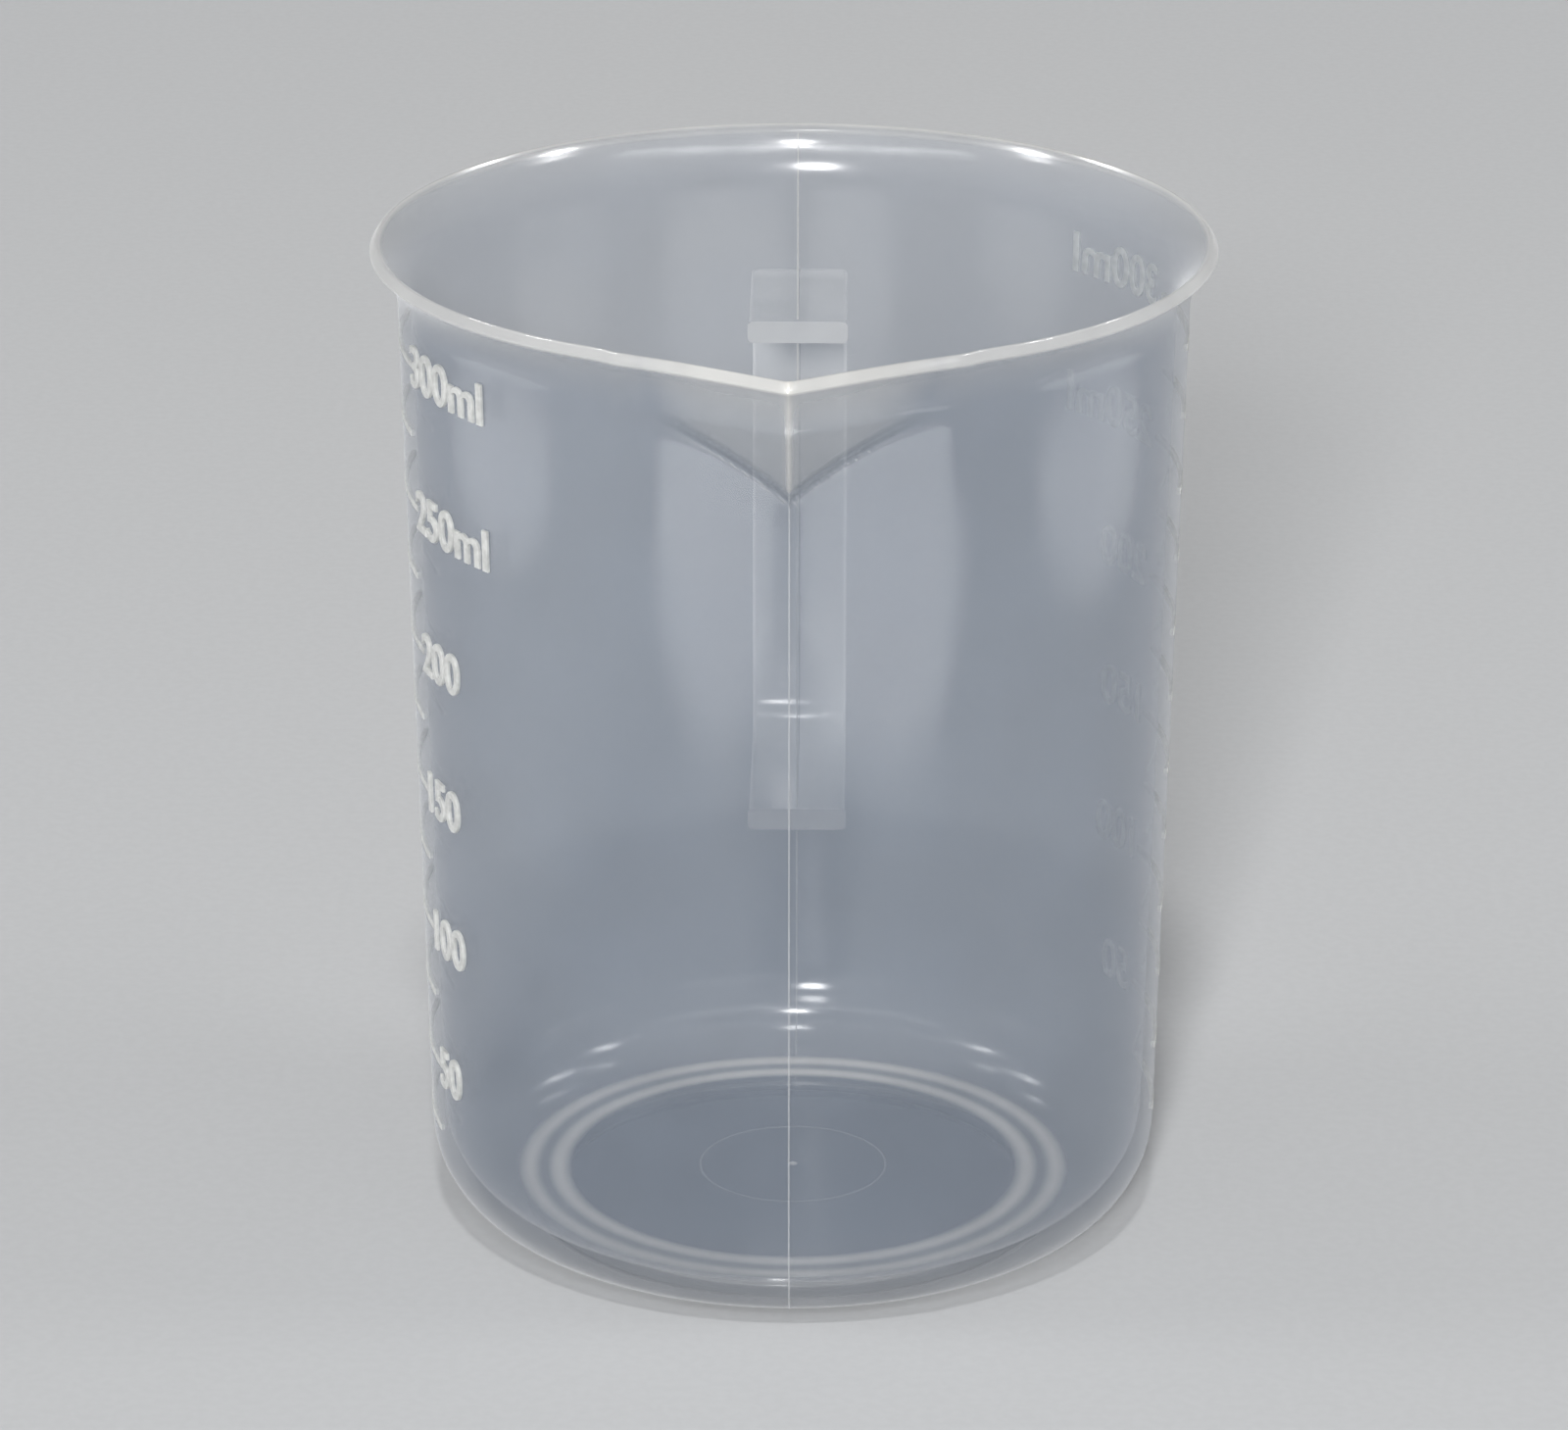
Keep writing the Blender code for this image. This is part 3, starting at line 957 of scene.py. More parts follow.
    def section(self) -> list[SectionPoint]:
        """The whole section: over the floor, up the inside, over the rim and down the outside.

        Returns:
            Its points.
        """
        inner = self.corner_points(self.corner - self.wall.thickness, self.inner_floor,
                                   self.wall.across, self.inner_corner_steps)
        inner += self.wall_points(inner[-1][1], self.wall.across)
        inner += self.flare_points(self.wall.flare_radius + self.wall.thickness, self.rim_edge)[:-1]
        outer = self.wall_points(self.corner_points(self.corner, 0, 0, 1)[-1][1], 0)
        outer += self.flare_points(self.wall.flare_radius, self.rim_edge)[:-1]
        points = self.floor_points()
        points += [SectionPoint(r, z, self.corner_milk_at(r, z) + self.flare_milk_at(z))
                   for r, z in inner]
        points += milky(self.rim_points(), self.rim_milk)
        points += [SectionPoint(r, z, self.flare_milk_at(z)) for r, z in reversed(outer)]
        points += reversed(self.foot_points())
        return points

    def tree(self) -> ShapeTree:
        """Tree that turns the section round the axis and pulls the spout out of it.

        Returns:
            The tree.
        """
        wall = self.wall
        sizes = {"Axis X": wall.axis.x, "Axis Y": wall.axis.y}
        sizes |= sizes_of(wall, "base_radius", "taper", "flare_start")
        sizes |= sizes_of(self, "spout_columns", "round_columns", "spout_sector")
        sizes |= sizes_of(self.spout, "normal", "face_at_flare", "face_slope", "half_angle", "fade_angle",
                          "crease_softness", "crease_spread", "crease_band", "crease_line",
                          "ridge_softness", "line_milk", "face_milk", "ridge_milk")
        tree = ShapeTree("Turned shell with a spout", sizes)
        source = tree["Geometry"]
        rows = tree.out("GeometryNodeAttributeDomainSize", {"Geometry": source}, output="Point Count")
        columns = tree["Spout Columns"] + tree["Round Columns"]
        grid = tree.out("GeometryNodeMeshGrid", {"Vertices X": rows, "Vertices Y": columns + 1.0})
        index = tree.out("GeometryNodeInputIndex")
        row = tree.math("FLOOR", (index + 0.5) / (columns + 1.0))
        column = index - row * (columns + 1.0)
        position = tree.out("GeometryNodeInputPosition")
        place = tree.out("GeometryNodeSampleIndex", {0: source, 1: position, 2: row},
                         data_type="FLOAT_VECTOR")
        milk = tree.out("GeometryNodeInputNamedAttribute", {"Name": "milk"}, data_type="FLOAT")
        sampled = tree.out("GeometryNodeSampleIndex", {0: source, 1: milk, 2: row}, data_type="FLOAT")
        split = tree.node("ShaderNodeSeparateXYZ", {0: place})
        radius, z = Value(tree, split.outputs[0]), Value(tree, split.outputs[2])
        angle = self.column_angle(tree, column)
        pulled, spout_milk_and_paint = self.pull_spout(tree, radius, z, angle)
        # the spout's painted highlights and painted shade join the section's milk
        marked = tree.with_milk(grid, sampled + spout_milk_and_paint * (1.0 - sampled))
        shell = tree.place_round(marked, pulled, angle, z)
        tree.end(tree.out("GeometryNodeMergeByDistance", {"Geometry": shell, "Distance": self.seam}))
        return tree

    @staticmethod
    def column_angle(tree: ShapeTree, column: Value) -> Value:
        """Angle of a column from the spout, with the columns closer together on the spout.

        Args:
            tree: Tree that turns the shell.
            column: Number of the column.

        Returns:
            The angle.
        """
        sector, on_spout = tree["Spout Sector"], tree["Spout Columns"]
        near = 0.0 - sector + 2.0 * sector * tree.math("MINIMUM", column, on_spout) / on_spout
        past = tree.math("MAXIMUM", column - on_spout, 0.0)
        return near + (math.tau - 2.0 * sector) * past / tree["Round Columns"]

    def pull_spout(self, tree: ShapeTree, radius: Value, z: Value, angle: Value) -> tuple[Value, Value]:
        """Pulls the spout out of the turned shell, but nothing close to the axis.

        Args:
            tree: Tree that turns the shell.
            radius: Radius of each point of the turned shell.
            z: Its height.
            angle: Its angle from the spout.

        Returns:
            The radius after the pull, and the milk of the pulled faces together with the spout's painted
            highlights and painted shade.
        """
        level = tree.math("MINIMUM", z, tree["Flare Start"])
        depth = tree["Base Radius"] + tree["Taper"] * level - radius
        face = tree["Face At Flare"] - tree["Face Slope"] * (tree["Flare Start"] - level) - depth
        ridge = tree["Ridge Softness"]
        size = tree.math("SQRT", angle * angle + ridge * ridge)
        flat = face / tree.math("COSINE", size - tree["Normal"])
        faded = tree.ramp(size, tree["Half Angle"], tree["Fade Angle"], 1.0, 0.0)
        outward = tree.ramp(size, 0.0, tree["Half Angle"], 0.0, 1.0)
        softness = (tree["Crease Softness"] + tree["Crease Spread"] * outward) * faded
        past = flat - radius
        added = (past + tree.math("SQRT", past * past + softness * softness)) / 2.0
        on_wall = tree.fade(radius, tree["Base Radius"], self.spout.pull_rise, start=0.0)
        return radius + added * faded * on_wall, self.spout_milk(tree, past, size)

    def spout_milk(self, tree: ShapeTree, past: Value, size: Value) -> Value:
        """How milky the plastic looks on the spout, with painted highlights and painted shade.

        Args:
            tree: Tree that turns the shell.
            past: How far a spout's face lies outside the turned wall.
            size: Angle from the ridge, without its sign.

        Returns:
            More than 0 on the faces, and as painted highlights on the ridge and the line below the crease;
            less than 0 as painted shade in the fold.
        """
        spout = self.spout
        band, line = tree["Crease Band"], tree["Crease Line"]
        # painted shade in the fold, and a painted highlight line below it
        painted_shade = tree.fade(tree.math("ABSOLUTE", past - band / 2.0), band, spout.fold_fade)
        bright = tree.fade(tree.math("ABSOLUTE", past + band / 2.0), line, spout.line_fade)
        near = tree.fade(size, tree["Half Angle"], spout.side_fade)
        on_face = tree.fade(past, band, spout.face_rise, start=0.0)
        # painted highlight along the ridge
        ridge = tree.fade(size, tree["Ridge Softness"], spout.ridge_fade)
        face = on_face * (tree["Face Milk"] * near + ridge * tree["Ridge Milk"])
        return face + (bright * tree["Line Milk"] - painted_shade) * near

    def nodes(self) -> list[str]:
        """The solid that the shell stands for."""
        return ["vessel"]

    def start(self) -> bpy.types.Object:
        """Section as a line of points, with its milk.

        Returns:
            The object that holds the line.
        """
        section = self.section()
        piece = line_object("moulded_vessel", [[(point.radius, 0, point.height) for point in section]])
        set_milk(piece, [point.milk for point in section])
        return piece


@dataclass
class StrapHandle(Piece):
    """Strap of even section: two arms that grow out of the wall, and the grip between them."""

    wall: Wall
    plastic: MilkyPlastic
    thickness: float = 1.9 * MM
    corner: float = 6.7 * MM  # outside of the bend between an arm and the grip
    edge: float = 0.45 * MM  # rounding of the strap's long edges
    root_fillet: float = 0.20 * MM
    root_milk: float = -0.9  # painted shade: below 0, so the strap is drawn darker where it meets the wall
    bend_steps: int = 14
    edge_steps: int = 4
    root_steps: int = 6  # for each length of the root's fillet
    row_step: float = 2 * MM

    def centre_line(self) -> Line:
        """Middle of the strap, from the upper root round to the lower root.

        Returns:
            Its points.
        """
        low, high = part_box("handle")
        half = self.thickness / 2
        top, bottom = high.z - half, low.z + half
        bend = self.corner - half
        bend_y = high.y - self.corner
        line = self.arm(top, bend_y)
        line += arc((bend_y, top - bend), bend, math.pi / 2, 0, self.bend_steps)
        line += [(high.y - half, z) for z in evenly(top - bend, bottom + bend, self.row_step)]
        line += arc((bend_y, bottom + bend), bend, 0, -math.pi / 2, self.bend_steps)
        line += reversed(self.arm(bottom, bend_y))
        return [(self.wall.axis.x, y, z) for y, z in line]

    def arm(self, z: float, bend_y: float) -> Profile:
        """Middle of one arm from inside the wall out to the bend, with close points at its root.

        Args:
            z: Height of the arm's middle.
            bend_y: Where the bend begins.

        Returns:
            Its points, as (y, z).
        """
        face = self.wall.axis.y + self.wall.radius(z)
        root = face - self.wall.thickness / 2
        steps = evenly(face - self.root_fillet, face + 2 * self.root_fillet,
                       self.root_fillet / self.root_steps)
        steps += evenly(steps[-1], bend_y, self.row_step)
        return [(root, z)] + [(y, z) for y in steps]

    def tree(self) -> ShapeTree:
        """Tree that sweeps the strap's section along its middle, swells it at the roots and paints shade
        there.

        Returns:
            The tree.
        """
        low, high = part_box("handle")
        sizes = {"Width": high.x - low.x, "Axis Y": self.wall.axis.y}
        sizes |= sizes_of(self, "thickness", "edge", "edge_steps", "root_fillet", "root_milk")
        sizes |= sizes_of(self.wall, "base_radius", "taper")
        tree = ShapeTree("Strap along a path", sizes)
        outline = tree.out("GeometryNodeCurvePrimitiveQuadrilateral",
                           {"Width": tree["Width"], "Height": tree["Thickness"]}, mode="RECTANGLE")
        rounded = tree.out("GeometryNodeFilletCurve",
                           {"Curve": outline, "Count": tree["Edge Steps"], "Radius": tree["Edge"]},
                           mode="POLY")
        strap = tree.sweep(tree.path(), rounded)
        x, y, z = tree.position()
        away = y - tree["Axis Y"]
        distance = tree.math("SQRT", x * x + away * away) - tree["Base Radius"] - tree["Taper"] * z
        fillet = tree["Root Fillet"]
        near = tree.math("MAXIMUM", fillet - tree.math("MAXIMUM", distance, 0.0), 0.0)
        swell = fillet - tree.math("SQRT", fillet * fillet - near * near)
        facing = tree.out("GeometryNodeInputNormal")
        normal = tree.out("ShaderNodeVectorMath", {0: facing, 1: (1.0, 0.0, 1.0)}, operation="MULTIPLY")
        moved = tree.scaled(normal, swell)
        # painted shade at the roots
        root = tree.ramp(distance, 0.0, fillet, 1.0, 0.0) * tree["Root Milk"]
        marked = tree.with_milk(strap, root)
        tree.end(tree.out("GeometryNodeSetPosition", {"Geometry": marked, "Offset": moved}))
        return tree

    def nodes(self) -> list[str]:
        """The solid that the strap stands for."""
        return ["handle"]

    def start(self) -> bpy.types.Object:
        """Middle of the strap as a line of points."""
        return line_object("strap_handle", [self.centre_line()])


class Side(Enum):
    """Sides of the vessel that carry a scale, with the middle of its marks as an angle from the spout."""

    LEFT = math.radians(-85)
    RIGHT = math.radians(95)

    @property
    def word(self) -> str:
        """The side's name as it stands in the names of nodes and pieces."""
        return self.name.lower()


def wrap_sizes(wall: Wall, side: Side) -> dict[str, float]:
    """Sizes of every tree that lays flat relief round the wall."""
    sizes = {"Axis X": wall.axis.x, "Axis Y": wall.axis.y, "Direction": side.value}
    return sizes | sizes_of(wall, "base_radius", "taper", "middle_radius")


def wrap(tree: ShapeTree, flat: Value) -> Value:
    """Lays flat relief round the wall.

    Args:
        tree: Tree that has the sizes of wrap_sizes.
        flat: Relief whose X runs round the wall, Y up it and Z out of it.

    Returns:
        The relief on the wall.
    """
    along, up, out = tree.position()
    angle = tree["Direction"] + along / tree["Middle Radius"]
    radius = tree["Base Radius"] + tree["Taper"] * up + out
    return tree.place_round(flat, radius, angle, up)


@dataclass
class ScaleMarks(Piece):
    """Raised marks of one scale, short and long in turn."""

    wall: Wall
    side: Side
    plastic: RaisedPlastic
    long_sweep: float = math.radians(26)
    short_sweep: float = math.radians(22)
    rise: float = 0.32 * MM
    sunk: float = 0.06 * MM  # how far the root reaches into the wall
    edge: float = 0.10 * MM
    edge_steps: int = 3
    points_along: int = 25
    slot = "mark_plastic"

    def nodes(self) -> list[str]:
        """Nodes of the frame that hold these marks, from the lowest up."""
        return sorted(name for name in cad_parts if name.startswith(self.side.word + "_mark_"))

    def heights(self) -> list[float]:
        """Height of each mark's middle."""
        return [sum(corner.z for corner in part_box(node)) / 2 for node in self.nodes()]

    def section(self) -> Line:
        """Section of a mark across its length, with its outer edges rounded.

        Returns:
            Its points.
        """
        low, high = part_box(self.nodes()[0])
        half = (high.z - low.z) / 2
        top = self.rise - self.edge
        points = [(-half, -self.sunk), (half, -self.sunk)]
        for middle, start in ((half - self.edge, 0.0), (self.edge - half, math.pi / 2)):
            points += arc((middle, top), self.edge, start, start + math.pi / 2, self.edge_steps)
        return [(x, y, 0) for x, y in points]

    def tree(self) -> ShapeTree:
        """Tree that repeats a short and a long mark up the wall.

        Returns:
            The tree.
        """
        heights = self.heights()
        middle = self.wall.middle_radius
        sizes = {"Count": len(heights), "First": heights[0], "Spacing": heights[1] - heights[0],
                 "Short Length": self.short_sweep * middle, "Long Length": self.long_sweep * middle}
        sizes |= wrap_sizes(self.wall, self.side) | sizes_of(self, "points_along")
        tree = ShapeTree("Raised marks up the wall", sizes)
        section = tree.path()
        bars = tree.node("GeometryNodeGeometryToInstance")
        for label in ("Long Length", "Short Length"):
            half = tree[label] / 2.0
            ends = {"Start": tree.vector(x=0.0 - half), "End": tree.vector(x=half)}
            line = tree.out("GeometryNodeCurvePrimitiveLine", ends, mode="POINTS")
            fine = tree.out("GeometryNodeResampleCurve",
                            {"Curve": line, "Count": tree["Points Along"]}, mode="COUNT")
            tree.feed(bars.inputs[0], tree.sweep(fine, section))
        first, step = tree.vector(y=tree["First"]), tree.vector(y=tree["Spacing"])
        spots = tree.out("GeometryNodeMeshLine",
                         {"Count": tree["Count"], "Start Location": first, "Offset": step},
                         mode="OFFSET", count_mode="TOTAL")
        turn = tree.math("MODULO", tree.out("GeometryNodeInputIndex"), 2.0)
        placed = tree.out("GeometryNodeInstanceOnPoints",
                          {"Points": spots, "Instance": Value(tree, bars.outputs[0]), "Pick Instance": True,
                           "Instance Index": turn})
        real = tree.out("GeometryNodeRealizeInstances", {"Geometry": placed})
        tree.end(wrap(tree, real))
        return tree

    def start(self) -> bpy.types.Object:
        """Section of a mark as a closed line of points."""
        return line_object(self.side.word + "_scale_marks", [self.section()], closed=True)


@dataclass
class ScaleNumbers(Piece):
    """Raised numbers beside the long marks of one scale."""

    wall: Wall
    side: Side
    plastic: RaisedPlastic
    marks: ScaleMarks
    millilitres: tuple[int, ...] = (50, 100, 150, 200, 250, 300)
    unit_from: int = 250  # from here up the number carries its unit
    unit: str = "ml"
    figure_height: float = 3.8 * MM
    font_figure_height: float = 0.7  # of the built-in font at size 1
    widening: float = 1.06
    boldness: float = 0.10 * MM
    gap: float = 0.35 * MM  # from a mark's end to the number's first figure
    lift: float = 0.25 * MM  # of the figures' middle above the mark's
    rise: float = 0.30 * MM
    sunk: float = 0.06 * MM
    edge: float = 0.07 * MM
    edge_steps: int = 2
    curve_steps: int = 10
    seam: float = 0.0005 * MM  # closer than this, points are made one
    sharp_angle: float = math.radians(40)  # past this an edge is drawn crisp
    slot = "mark_plastic"

    def flat_mesh(self, number: int, height: float) -> bpy.types.Mesh:
        """One number as flat relief beside its mark, with its first figure at the mark's end.

        Args:
            number: Volume that it names.
            height: Height of the mark's middle.

        Returns:
            Its mesh, with X along the wall, Y up it and Z out of it.
        """
        words = bpy.data.curves.new("number", "FONT")
        words.body = str(number) + (self.unit if number >= self.unit_from else "")
        words.size = self.figure_height / self.font_figure_height
        words.offset = self.boldness - self.edge
        words.bevel_depth = self.edge
        words.bevel_resolution = self.edge_steps
        words.extrude = (self.rise + self.sunk) / 2 - self.edge
        words.resolution_u = self.curve_steps
        thing = add_object("number", words)
        mesh = evaluated_mesh(thing)
        bpy.data.objects.remove(thing)
        left = min(vertex.co.x for vertex in mesh.vertices)
        start = self.marks.long_sweep / 2 * self.wall.middle_radius + self.gap
        bottom = height + self.lift - self.figure_height / 2
        widen = Matrix.Diagonal((self.widening, 1, 1, 1))
        place = Matrix.Translation((start, bottom, (self.rise - self.sunk) / 2))
        mesh.transform(place @ widen @ Matrix.Translation((-left, 0, 0)))
        return mesh

    def tree(self) -> ShapeTree:
        """Tree that lays the flat numbers round the wall.

        Returns:
            The tree.
        """
        tree = ShapeTree("Flat numbers laid round the wall", wrap_sizes(self.wall, self.side))
        closed = tree.out("GeometryNodeMergeByDistance",
                          {"Geometry": tree["Geometry"], "Distance": self.seam})
        tree.end(wrap(tree, closed))
        return tree

    def start(self) -> bpy.types.Object:
        """The numbers as flat relief, each beside its mark.

        Returns:
            The object that holds them.
        """
        heights = self.marks.heights()[1::2]
        joined = bmesh.new()
        for number, height in zip(self.millilitres, heights):
            mesh = self.flat_mesh(number, height)
            joined.from_mesh(mesh)
            bpy.data.meshes.remove(mesh)
        flat = bpy.data.meshes.new(self.side.word + "_scale_numbers")
        joined.to_mesh(flat)
        joined.free()
        return add_object(flat.name, flat)

    def shape(self) -> bpy.types.Object:
        """Lays the numbers round the wall and keeps their edges crisp.

        Returns:
            The shaped piece.
        """
        piece = super().shape()
        piece.data.set_sharp_from_angle(angle=self.sharp_angle)
        return piece


@dataclass
class PartingLine(Piece):
    """Thin ridge where the two halves of the mould met: down the front, down the back and round the strap."""

    wall: Wall
    spout: Spout
    vessel: Vessel
    handle: StrapHandle
    plastic: MilkyPlastic
    half_width: float = 0.08 * MM
    sunk: float = 0.04 * MM
    step: float = 1.0 * MM
    corner_steps: int = 24
    section_sides: int = 8
    rear_milk: float = 0.65  # painted highlight that draws the line down the back whiter

    def corner_line(self, angle: float) -> Line:
        """The line over the rounded corner.

        Args:
            angle: Angle of the line from the spout.

        Returns:
            Its points.
        """
        corner = self.vessel.corner_points(self.vessel.corner, 0, 0, self.corner_steps)
        outside = corner[0][0] + 3 * self.vessel.small_edge
        points = [(r, math.hypot(z, self.vessel.foot_step)) for r, z in corner if r > outside]
        return [self.wall.point(r - self.sunk, angle, z) for r, z in points]

    def wall_line(self, angle: float, low: float, high: float) -> Line:
        """The line up the plain wall."""
        heights = [low] + evenly(low, high, self.step) + [high]
        return [self.wall.point(self.wall.radius(z) - self.sunk, angle, z) for z in heights]

    def flare_line(self, angle: float, added: float) -> Line:
        """The line up the outside of the flare, further out by what the spout adds."""
        points = self.vessel.flare_points(self.wall.flare_radius, 2 * self.vessel.rim_edge)
        return [self.wall.point(r + added - self.sunk, angle, z) for r, z in points]

    def front(self) -> Line:
        """Front line: corner, wall, and the spout's ridge.

        Returns:
            Its points.
        """
        corner = self.corner_line(0)
        apex = self.spout.apex_height
        flare = self.wall.flare_start
        heights = [apex] + evenly(apex, flare, self.step)
        ridge = [self.wall.point(self.spout.ridge_radius(z) - self.sunk, 0, z) for z in heights]
        added = self.spout.ridge_radius(flare) - self.wall.radius(flare)
        plain = self.wall_line(0, corner[-1][2] + self.step, apex - self.step)
        return corner + plain + ridge + self.flare_line(0, added)

    def rear(self) -> list[Line]:
        """Rear lines: below, between and above the handle's arms.

        Returns:
            The points of each line.
        """
        low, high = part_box("handle")
        clear = self.handle.root_fillet
        thick = self.handle.thickness
        back = math.pi
        corner = self.corner_line(back)
        below = corner + self.wall_line(back, corner[-1][2] + self.step, low.z - clear)
        between = self.wall_line(back, low.z + thick + clear, high.z - thick - clear)
        above = self.wall_line(back, high.z + clear, self.wall.flare_start - self.step)
        return [below, between, above + self.flare_line(back, 0)]

    def strap(self) -> list[Line]:
        """The lines round the outside and the inside of the strap.

        Returns:
            The points of each line.
        """
        middle = self.handle.centre_line()
        offset = self.handle.thickness / 2 - self.sunk
        lines = []
        for side in (1, -1):
            line = []
            for before, point, after in zip(middle, middle[1:], middle[2:]):
                along = Vector(after) - Vector(before)
                out = Vector((0, -along.z, along.y)).normalized() * side
                shifted = Vector(point) + out * offset
                if shifted.y - self.wall.axis.y > self.wall.radius(shifted.z) + self.handle.root_fillet:
                    line.append(tuple(shifted))
            lines.append(line)
        return lines

    def tree(self) -> ShapeTree:
        """Tree that gives the paths a small round section.

        Returns:
            The tree.
        """
        tree = ShapeTree("Thin ridge along paths", sizes_of(self, "half_width", "section_sides"))
        section = tree.out("GeometryNodeCurvePrimitiveCircle",
                           {"Resolution": tree["Section Sides"], "Radius": tree["Half Width"]},
                           mode="RADIUS")
        tree.end(tree.sweep(tree.path(), section))
        return tree

    def start(self) -> bpy.types.Object:
        """Lines that the ridge follows, with a painted highlight that makes the line down the back whiter.

        Returns:
            The object that holds the lines.
        """
        plain = [self.front()] + self.strap()
        rear = self.rear()
        piece = line_object("parting_line", plain + rear)
        set_milk(piece, [0.0] * sum(map(len, plain)) + [self.rear_milk] * sum(map(len, rear)))
        return piece


class LampShape(Enum):
    """Outlines of a lamp's face."""

    OBLONG = "RECTANGLE"
    OVAL = "ELLIPSE"


class LampRole(Enum):
    """What a lamp does: it lights the beaker, shows in its gloss, or both."""

    LIGHT_AND_GLOSS = 0
    LIGHT = 1
    GLOSS = 2


@dataclass(frozen=True)
class Lamp:
    """Soft lamp, or a card that shows in the gloss, placed by its direction from the beaker."""

    name: str
    azimuth: float  # degrees round from the spout, towards +X
    elevation: float  # degrees above the beaker's middle
    distance: float
    width: float
    height: float
    power: float
    shape: LampShape = LampShape.OBLONG
    role: LampRole = LampRole.LIGHT_AND_GLOSS

    def build(self, target: Vector) -> None:
        """Makes the lamp and turns it to the target.

        Args:
            target: Place that the lamp shines at.
        """
        light = bpy.data.lights.new(self.name, "AREA")
        light.shape = self.shape.value
        light.size = self.width
        light.size_y = self.height
        light.energy = self.power
        turn, rise = math.radians(self.azimuth), math.radians(self.elevation)
        away = Vector((math.sin(turn) * math.cos(rise), -math.cos(turn) * math.cos(rise), math.sin(rise)))
        thing = add_object(self.name, light)
        thing.location = target + away * self.distance
        thing.rotation_euler = away.to_track_quat("Z", "Y").to_euler()
        thing.visible_camera = False
        thing.visible_diffuse = self.role is not LampRole.GLOSS
        thing.visible_glossy = self.role is not LampRole.LIGHT
        log.info("%s: %.3f W", self.name, self.power)


@dataclass(frozen=True)
class PhotoCamera:
    """Camera at the photograph's viewing angle, with its aim given on the vessel's axis."""

    distance: float = 685.5 * MM
    elevation: float = math.radians(20.34)
    azimuth: float = math.radians(0.68)
    aim_height: float = 48.62 * MM
    aside: float = -0.88 * MM
    roll: float = math.radians(0.045)
    lens: float = 167.47
    sensor: float = 36.0

    def build(self, wall: Wall) -> None:
        """Makes the camera and gives it to the scene.

        Args:
            wall: Wall of the vessel that it looks at.
        """
        settings = bpy.data.cameras.new("photo_camera")
        settings.lens = self.lens
        settings.sensor_width = self.sensor
        thing = add_object("photo_camera", settings)
        right = Vector((math.cos(self.azimuth), math.sin(self.azimuth), 0))
        level = Vector((math.sin(self.azimuth), -math.cos(self.azimuth), 0))
        back = level * math.cos(self.elevation) + Vector((0, 0, math.sin(self.elevation)))
        aim = wall.axis + Vector((0, 0, self.aim_height)) + right * self.aside
        turned = back.to_track_quat("Z", "Y").to_matrix() @ Matrix.Rotation(self.roll, 3, "Z")
        thing.matrix_world = Matrix.Translation(aim + back * self.distance) @ turned.to_4x4()
        bpy.context.scene.camera = thing


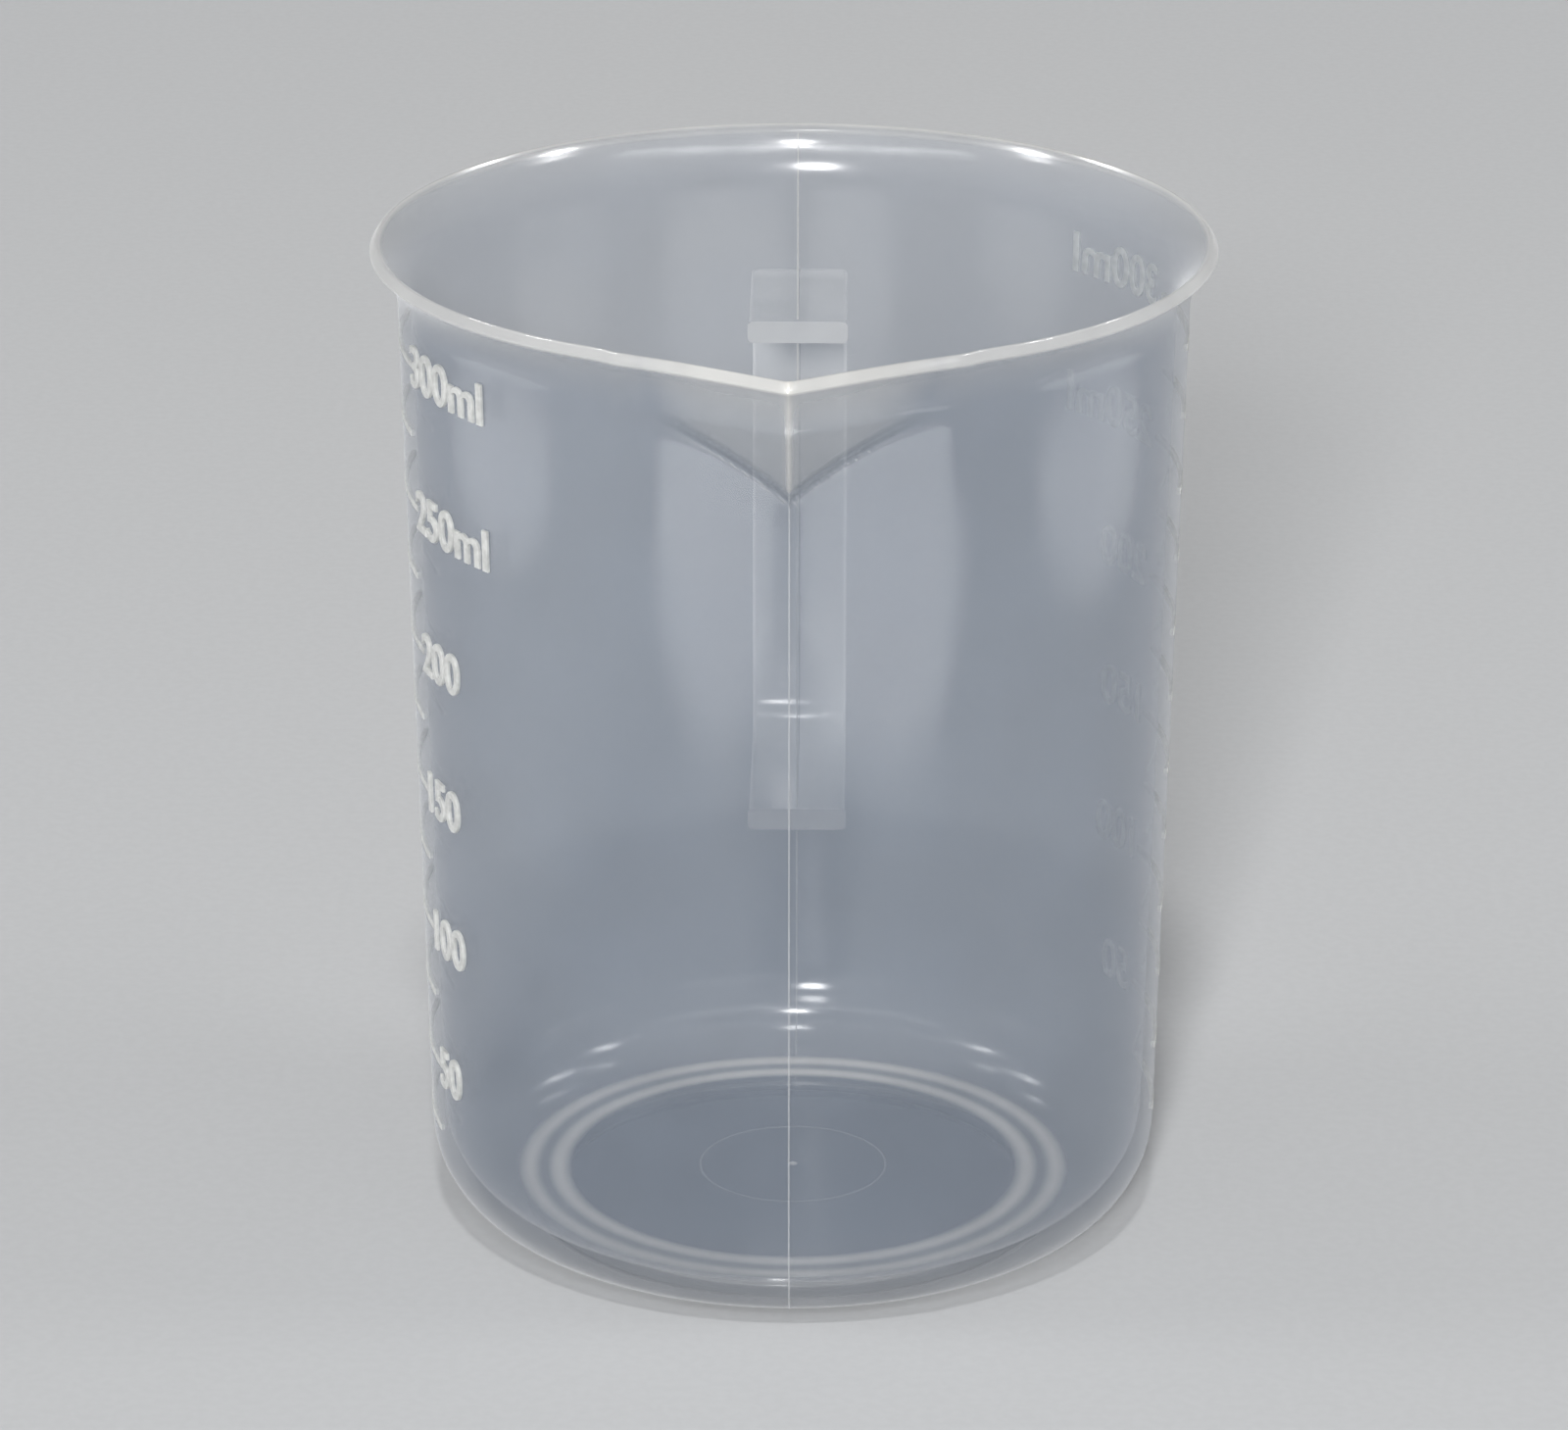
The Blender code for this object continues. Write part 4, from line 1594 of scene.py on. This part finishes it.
@dataclass(frozen=True)
class Studio:
    """Pale floor, soft lamps, plain world and the camera."""

    wall: Wall
    paper: StudioPaper
    floor_size: float = 6.0
    floor_gap: float = 0.02 * MM
    world_colour: Colour = (0.90, 0.92, 0.95, 1.0)
    world_strength: float = 0.22
    lamps: tuple[Lamp, ...] = (  # name, azimuth, elevation, distance, width, height, power
        Lamp("key_lamp", -6, 21, 7.0, 0.8, 0.8, 440),
        Lamp("spark_lamp", -1, 58, 4.0, 0.28, 0.24, 46),
        Lamp("left_lamp", -86, 13, 4.0, 1.4, 1.4, 66, role=LampRole.LIGHT),
        Lamp("right_lamp", 86, 13, 4.0, 1.4, 1.4, 66, role=LampRole.LIGHT),
        Lamp("left_card", -19, -4, 0.125, 0.068, 0.036, 0.019, LampShape.OVAL, LampRole.GLOSS),
        Lamp("right_card", 24, -5, 0.123, 0.100, 0.038, 0.028, LampShape.OVAL, LampRole.GLOSS),
        Lamp("left_side_card", -84, 0, 0.117, 0.080, 0.022, 0.009, LampShape.OVAL, LampRole.GLOSS),
        Lamp("right_side_card", 87, -1, 0.117, 0.085, 0.024, 0.010, LampShape.OVAL, LampRole.GLOSS),
        Lamp("left_glint", -103, 53, 4.0, 0.30, 0.30, 34, role=LampRole.GLOSS),
        Lamp("right_glint", 103, 53, 4.0, 0.30, 0.30, 34, role=LampRole.GLOSS),
        Lamp("left_rear_glint", -136, 45, 4.0, 0.30, 0.30, 24, role=LampRole.GLOSS),
        Lamp("right_rear_glint", 136, 45, 4.0, 0.30, 0.30, 24, role=LampRole.GLOSS),
    ) + tuple(Lamp(f"upper_card_{number}", azimuth, 51, 2.0, 0.86, 0.22, 2.6, role=LampRole.GLOSS)
              for number, azimuth in enumerate((-48, -24, 0, 24, 48)))

    def build_floor(self) -> None:
        """Makes the floor just under the beaker's foot."""
        half = self.floor_size / 2
        mesh = bpy.data.meshes.new("floor")
        corners = [(-half, -half), (half, -half), (half, half), (-half, half)]
        mesh.from_pydata([(x, y, -self.floor_gap) for x, y in corners], [], [(0, 1, 2, 3)])
        mesh.materials.append(self.paper.material())
        add_object("floor", mesh)

    def build_world(self) -> None:
        """Makes the plain world."""
        world = bpy.data.worlds.new("studio_world")
        world.use_nodes = True
        background = world.node_tree.nodes["Background"]
        background.inputs["Color"].default_value = self.world_colour
        background.inputs["Strength"].default_value = self.world_strength
        bpy.context.scene.world = world

    def build(self) -> None:
        """Sets the whole studio up."""
        self.build_floor()
        self.build_world()
        for lamp in self.lamps:
            lamp.build(self.wall.axis + Vector((0, 0, self.wall.height / 2)))
        PhotoCamera().build(self.wall)
        bpy.context.scene.view_settings.view_transform = "Standard"


def main() -> None:
    """Builds the beaker piece by piece, then the studio."""
    logging.basicConfig(level=logging.INFO, format="%(name)s: %(message)s")
    wall = Wall.from_frame()
    spout = Spout(wall)
    raised = RaisedPlastic("raised_plastic", glow=0.15)
    # The far side's numbers get a lighter copy of the raised plastic: painted light for numbers seen in the
    # wall's shade, and more of their light passes through.
    faint = RaisedPlastic("painted_light_raised_plastic", glow=0.55, colour=(0.88, 0.885, 0.865, 1.0),
                          least_cover=0.50)
    strap = MilkyPlastic("handle_plastic", thin=(0.95, 0.95, 0.94, 1.0), thin_cover=0.80)
    line = MilkyPlastic("line_plastic", thin=(0.70, 0.71, 0.71, 1.0), thin_cover=0.25)
    vessel = Vessel(wall, spout, MilkyPlastic("vessel_plastic"))
    vessel.build()
    handle = StrapHandle(wall, strap)
    handle.build()
    for side in Side:
        marks = ScaleMarks(wall, side, raised)
        marks.build()
        if side is Side.LEFT:
            ScaleNumbers(wall, side, raised, marks).build()
        else:
            ScaleNumbers(wall, side, faint, marks, gap=RIGHT_NUMBER_GAP).build()
    PartingLine(wall, spout, vessel, handle, line).build()
    Studio(wall, StudioPaper("studio_paper")).build()


if __name__ == "__main__":
    main()
